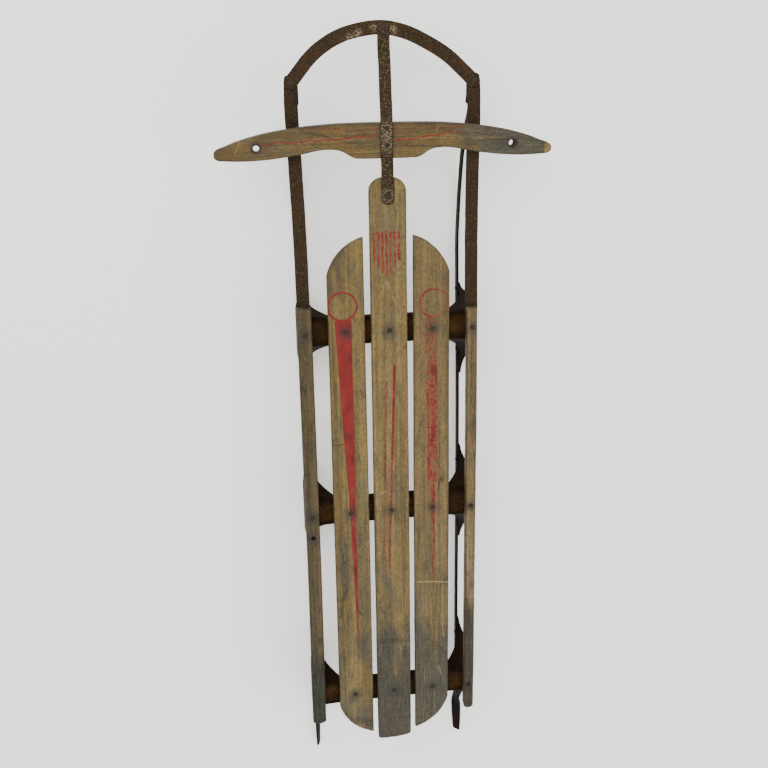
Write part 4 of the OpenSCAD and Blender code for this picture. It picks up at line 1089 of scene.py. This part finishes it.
# each rivet's shank radius, head radius and head height, and its clinched end's radius
rivetSizes = {"slat": (2.5, 4.4, 1.7, 3.9), "rail": (2.5, 4.4, 1.8, 3.9), "nose": (3.2, 5.4, 1.7, 6.5),
              "bar": (2.5, 4.3, 1.6, 3.9), "bow": (3.2, 4.8, 0.7, 3.9), "bolt": (3.2, 6.0, 2.3, 3.9)}
underBench = float(nodeBox("slat_rivet_washers")[0][2])
railTop = float(nodeBox("rail_right")[1][2])


def rivetProfile(top, low, size):
    # From the head's crown down its dome, its underside, the shank and the clinched end.
    shank, headRadius, headHeight, clinch = rivetSizes[size]
    a = np.linspace(0, 1, 7)[1:]
    dome = [(headRadius * math.sin(math.pi / 2 * k), top + headHeight * math.cos(math.pi / 2 * k)) for k in a]
    end = [(clinch, low - 0.2), (clinch * 0.8, low - 1.4), (clinch * 0.3, low - 1.7), (0, low - 1.7)]
    return [(0, top + headHeight)] + dome + [(headRadius - 0.2, top - 0.15), (shank, top - 0.2), (shank, low)] + end


def makeRivets(name, places, profile, body, replaced, seed):
    parts = [lathe(profile, 24, np.array([x, station + yMid, 0.0]), seed + k, 0.22)
             for k, (x, station) in enumerate(places)]
    points, faces = merge(parts)
    buildPiece(name, points, faces, rivetSteel, body, replaced, {"rim": np.zeros(len(points))})


makeRivets("slat_rivets",
           [(side * slatSettings["rivetX"], station) for station in benchStations for side in (-1, 0, 1)],
           rivetProfile(deckTop - 0.5, underBench, "slat"), "sled_frame", ["slat_rivets"], 101)
makeRivets("rail_rivets", [(side * railX, station) for station in benchStations[1:] for side in (-1, 1)],
           rivetProfile(railTop - 0.7, underBench, "rail"), "sled_frame", ["rail_rivets"], 121)
for sideName, side in (("left", -1), ("right", 1)):
    makeRivets("strap_pivot_" + sideName, [(side * railX, benchStations[0])],
               rivetProfile(railTop - 0.7, underBench, "rail"), "sled_frame", ["strap_pivot_" + sideName], 131 + side)
    makeRivets("nose_rivet_" + sideName, [(side * noseX, noseStation)], rivetProfile(bowZ + 1.6, noseZ - 8.0, "nose"),
               "bow", ["nose_rivet_" + sideName], 137 + side)
makeRivets("bar_rivets", [(0, station) for station in barSettings["rivets"]],
           rivetProfile(barTop + 3.2, barSettings["bottom"] - 1.4, "bar"), "steering", ["bar_rivets"], 141)
makeRivets("bow_centre_rivet", [(0, bowStation)], rivetProfile(bowZ + 5.2, bowZ - 1.6, "bow"), "bow",
           ["bow_centre_rivet"], 147)
makeRivets("tongue_pivot_bolt", [(0, boltStation)], rivetProfile(deckTop + 3.8, deckTop - 17.4, "bolt"), "sled_frame",
           ["tongue_pivot_bolt"], 151)

# the feet's rivets lie along x, through each foot and its runner
footRivets = []
for station in benchStations:
    for along in benchSettings["feet"]:
        for side in (-1, 1):
            points, faces = lathe(rivetProfile(4.0, -2.2, "rail"), 20, np.zeros(3), 160 + len(footRivets), 0.2)
            x = side * (railX + float(swayAt(side, station + along)) + points[:, 2])
            y, z = points[:, 0] + station + along + yMid, points[:, 1] + benchSettings["footRivet"]
            placed = np.stack([x, y, z], 1)
            footRivets.append((placed, faces[:, ::-1] if side < 0 else faces))
points, faces = merge(footRivets)
buildPiece("foot_rivets", points, faces, rivetSteel, "sled_frame", ["foot_rivets"],
           {"rim": np.zeros(len(points))})
for nodeName in ("bar_rivet_washers", "tongue_pivot_nut", "tongue_pivot_washer", "slat_rivet_washers",
                 "rail_rivet_washers"):
    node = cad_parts[nodeName]
    node.data.materials.clear()
    node.data.materials.append(rivetSteel)
print("rivets ready")


stageSettings = {"floor": "#fbfaf8", "size": 9.0, "drop": 0.0005, "glow": 0.65, "sky": "#ffffff", "skyStrength": 0.78}

floorMesh = bpy.data.meshes.new("floor")
reach = stageSettings["size"] / 2
corners = [(x * reach, y * reach, -stageSettings["drop"]) for x, y in ((-1, -1), (1, -1), (1, 1), (-1, 1))]
floorMesh.from_pydata(corners, [], [(0, 1, 2, 3)])
floor = bpy.data.objects.new("floor", floorMesh)
bpy.context.scene.collection.objects.link(floor)
# Matt white backdrop paper, evenly lit from all round: a little of its light is its own.
paper, add = newMaterial("mattPaperBackdrop")
add("OutputMaterial", {"Surface": add("BsdfPrincipled", {
    "Base Color": linear(stageSettings["floor"]), "Roughness": 0.9, "Specular IOR Level": 0.1,
    "Emission Color": linear(stageSettings["floor"]), "Emission Strength": stageSettings["glow"]})})
floorMesh.materials.append(paper)
floor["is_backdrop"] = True

world = bpy.data.worlds.new("studio")
world.use_nodes = True
bpy.context.scene.world = world
background = world.node_tree.nodes["Background"]
background.inputs["Color"].default_value = linear(stageSettings["sky"])
background.inputs["Strength"].default_value = stageSettings["skyStrength"]

lights = {"key": {"at": (-1.1, 1.6, 2.4), "size": 2.2, "power": 62},
          "fill": {"at": (1.6, -0.6, 2.2), "size": 2.6, "power": 26},
          "back": {"at": (0.3, -2.4, 1.8), "size": 2.0, "power": 17}}
for lightName, setting in lights.items():
    lamp = bpy.data.lights.new(lightName, "AREA")
    lamp.size, lamp.energy = setting["size"], setting["power"]
    lampObject = bpy.data.objects.new(lightName, lamp)
    lampObject.location = setting["at"]
    lampObject.rotation_euler = (-Vector(setting["at"])).to_track_quat("-Z", "Y").to_euler()
    bpy.context.scene.collection.objects.link(lampObject)

# The camera stands above and ahead of the left side, held almost upright to the deck.
cameraSettings = {"at": (-0.21686, 0.72051, 1.77334), "turn": (-18.1517, -9.2118, -1.7203), "lens": 47.970,
                  "shift": (-0.04580, -0.04355)}
camera = bpy.data.cameras.new("camera")
camera.lens = cameraSettings["lens"]
camera.sensor_width = 36.0
camera.shift_x, camera.shift_y = cameraSettings["shift"]
cameraObject = bpy.data.objects.new("camera", camera)
axis = Vector([math.radians(v) for v in cameraSettings["turn"]])
turned = Matrix.Rotation(axis.length, 4, axis.normalized())
cameraObject.matrix_world = Matrix.Translation(cameraSettings["at"]) @ turned
bpy.context.scene.collection.objects.link(cameraObject)
bpy.context.scene.camera = cameraObject
print("stage ready")

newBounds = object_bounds()
{"cad": [list(corner) for corner in cadBounds], "visual": [list(corner) for corner in newBounds]}
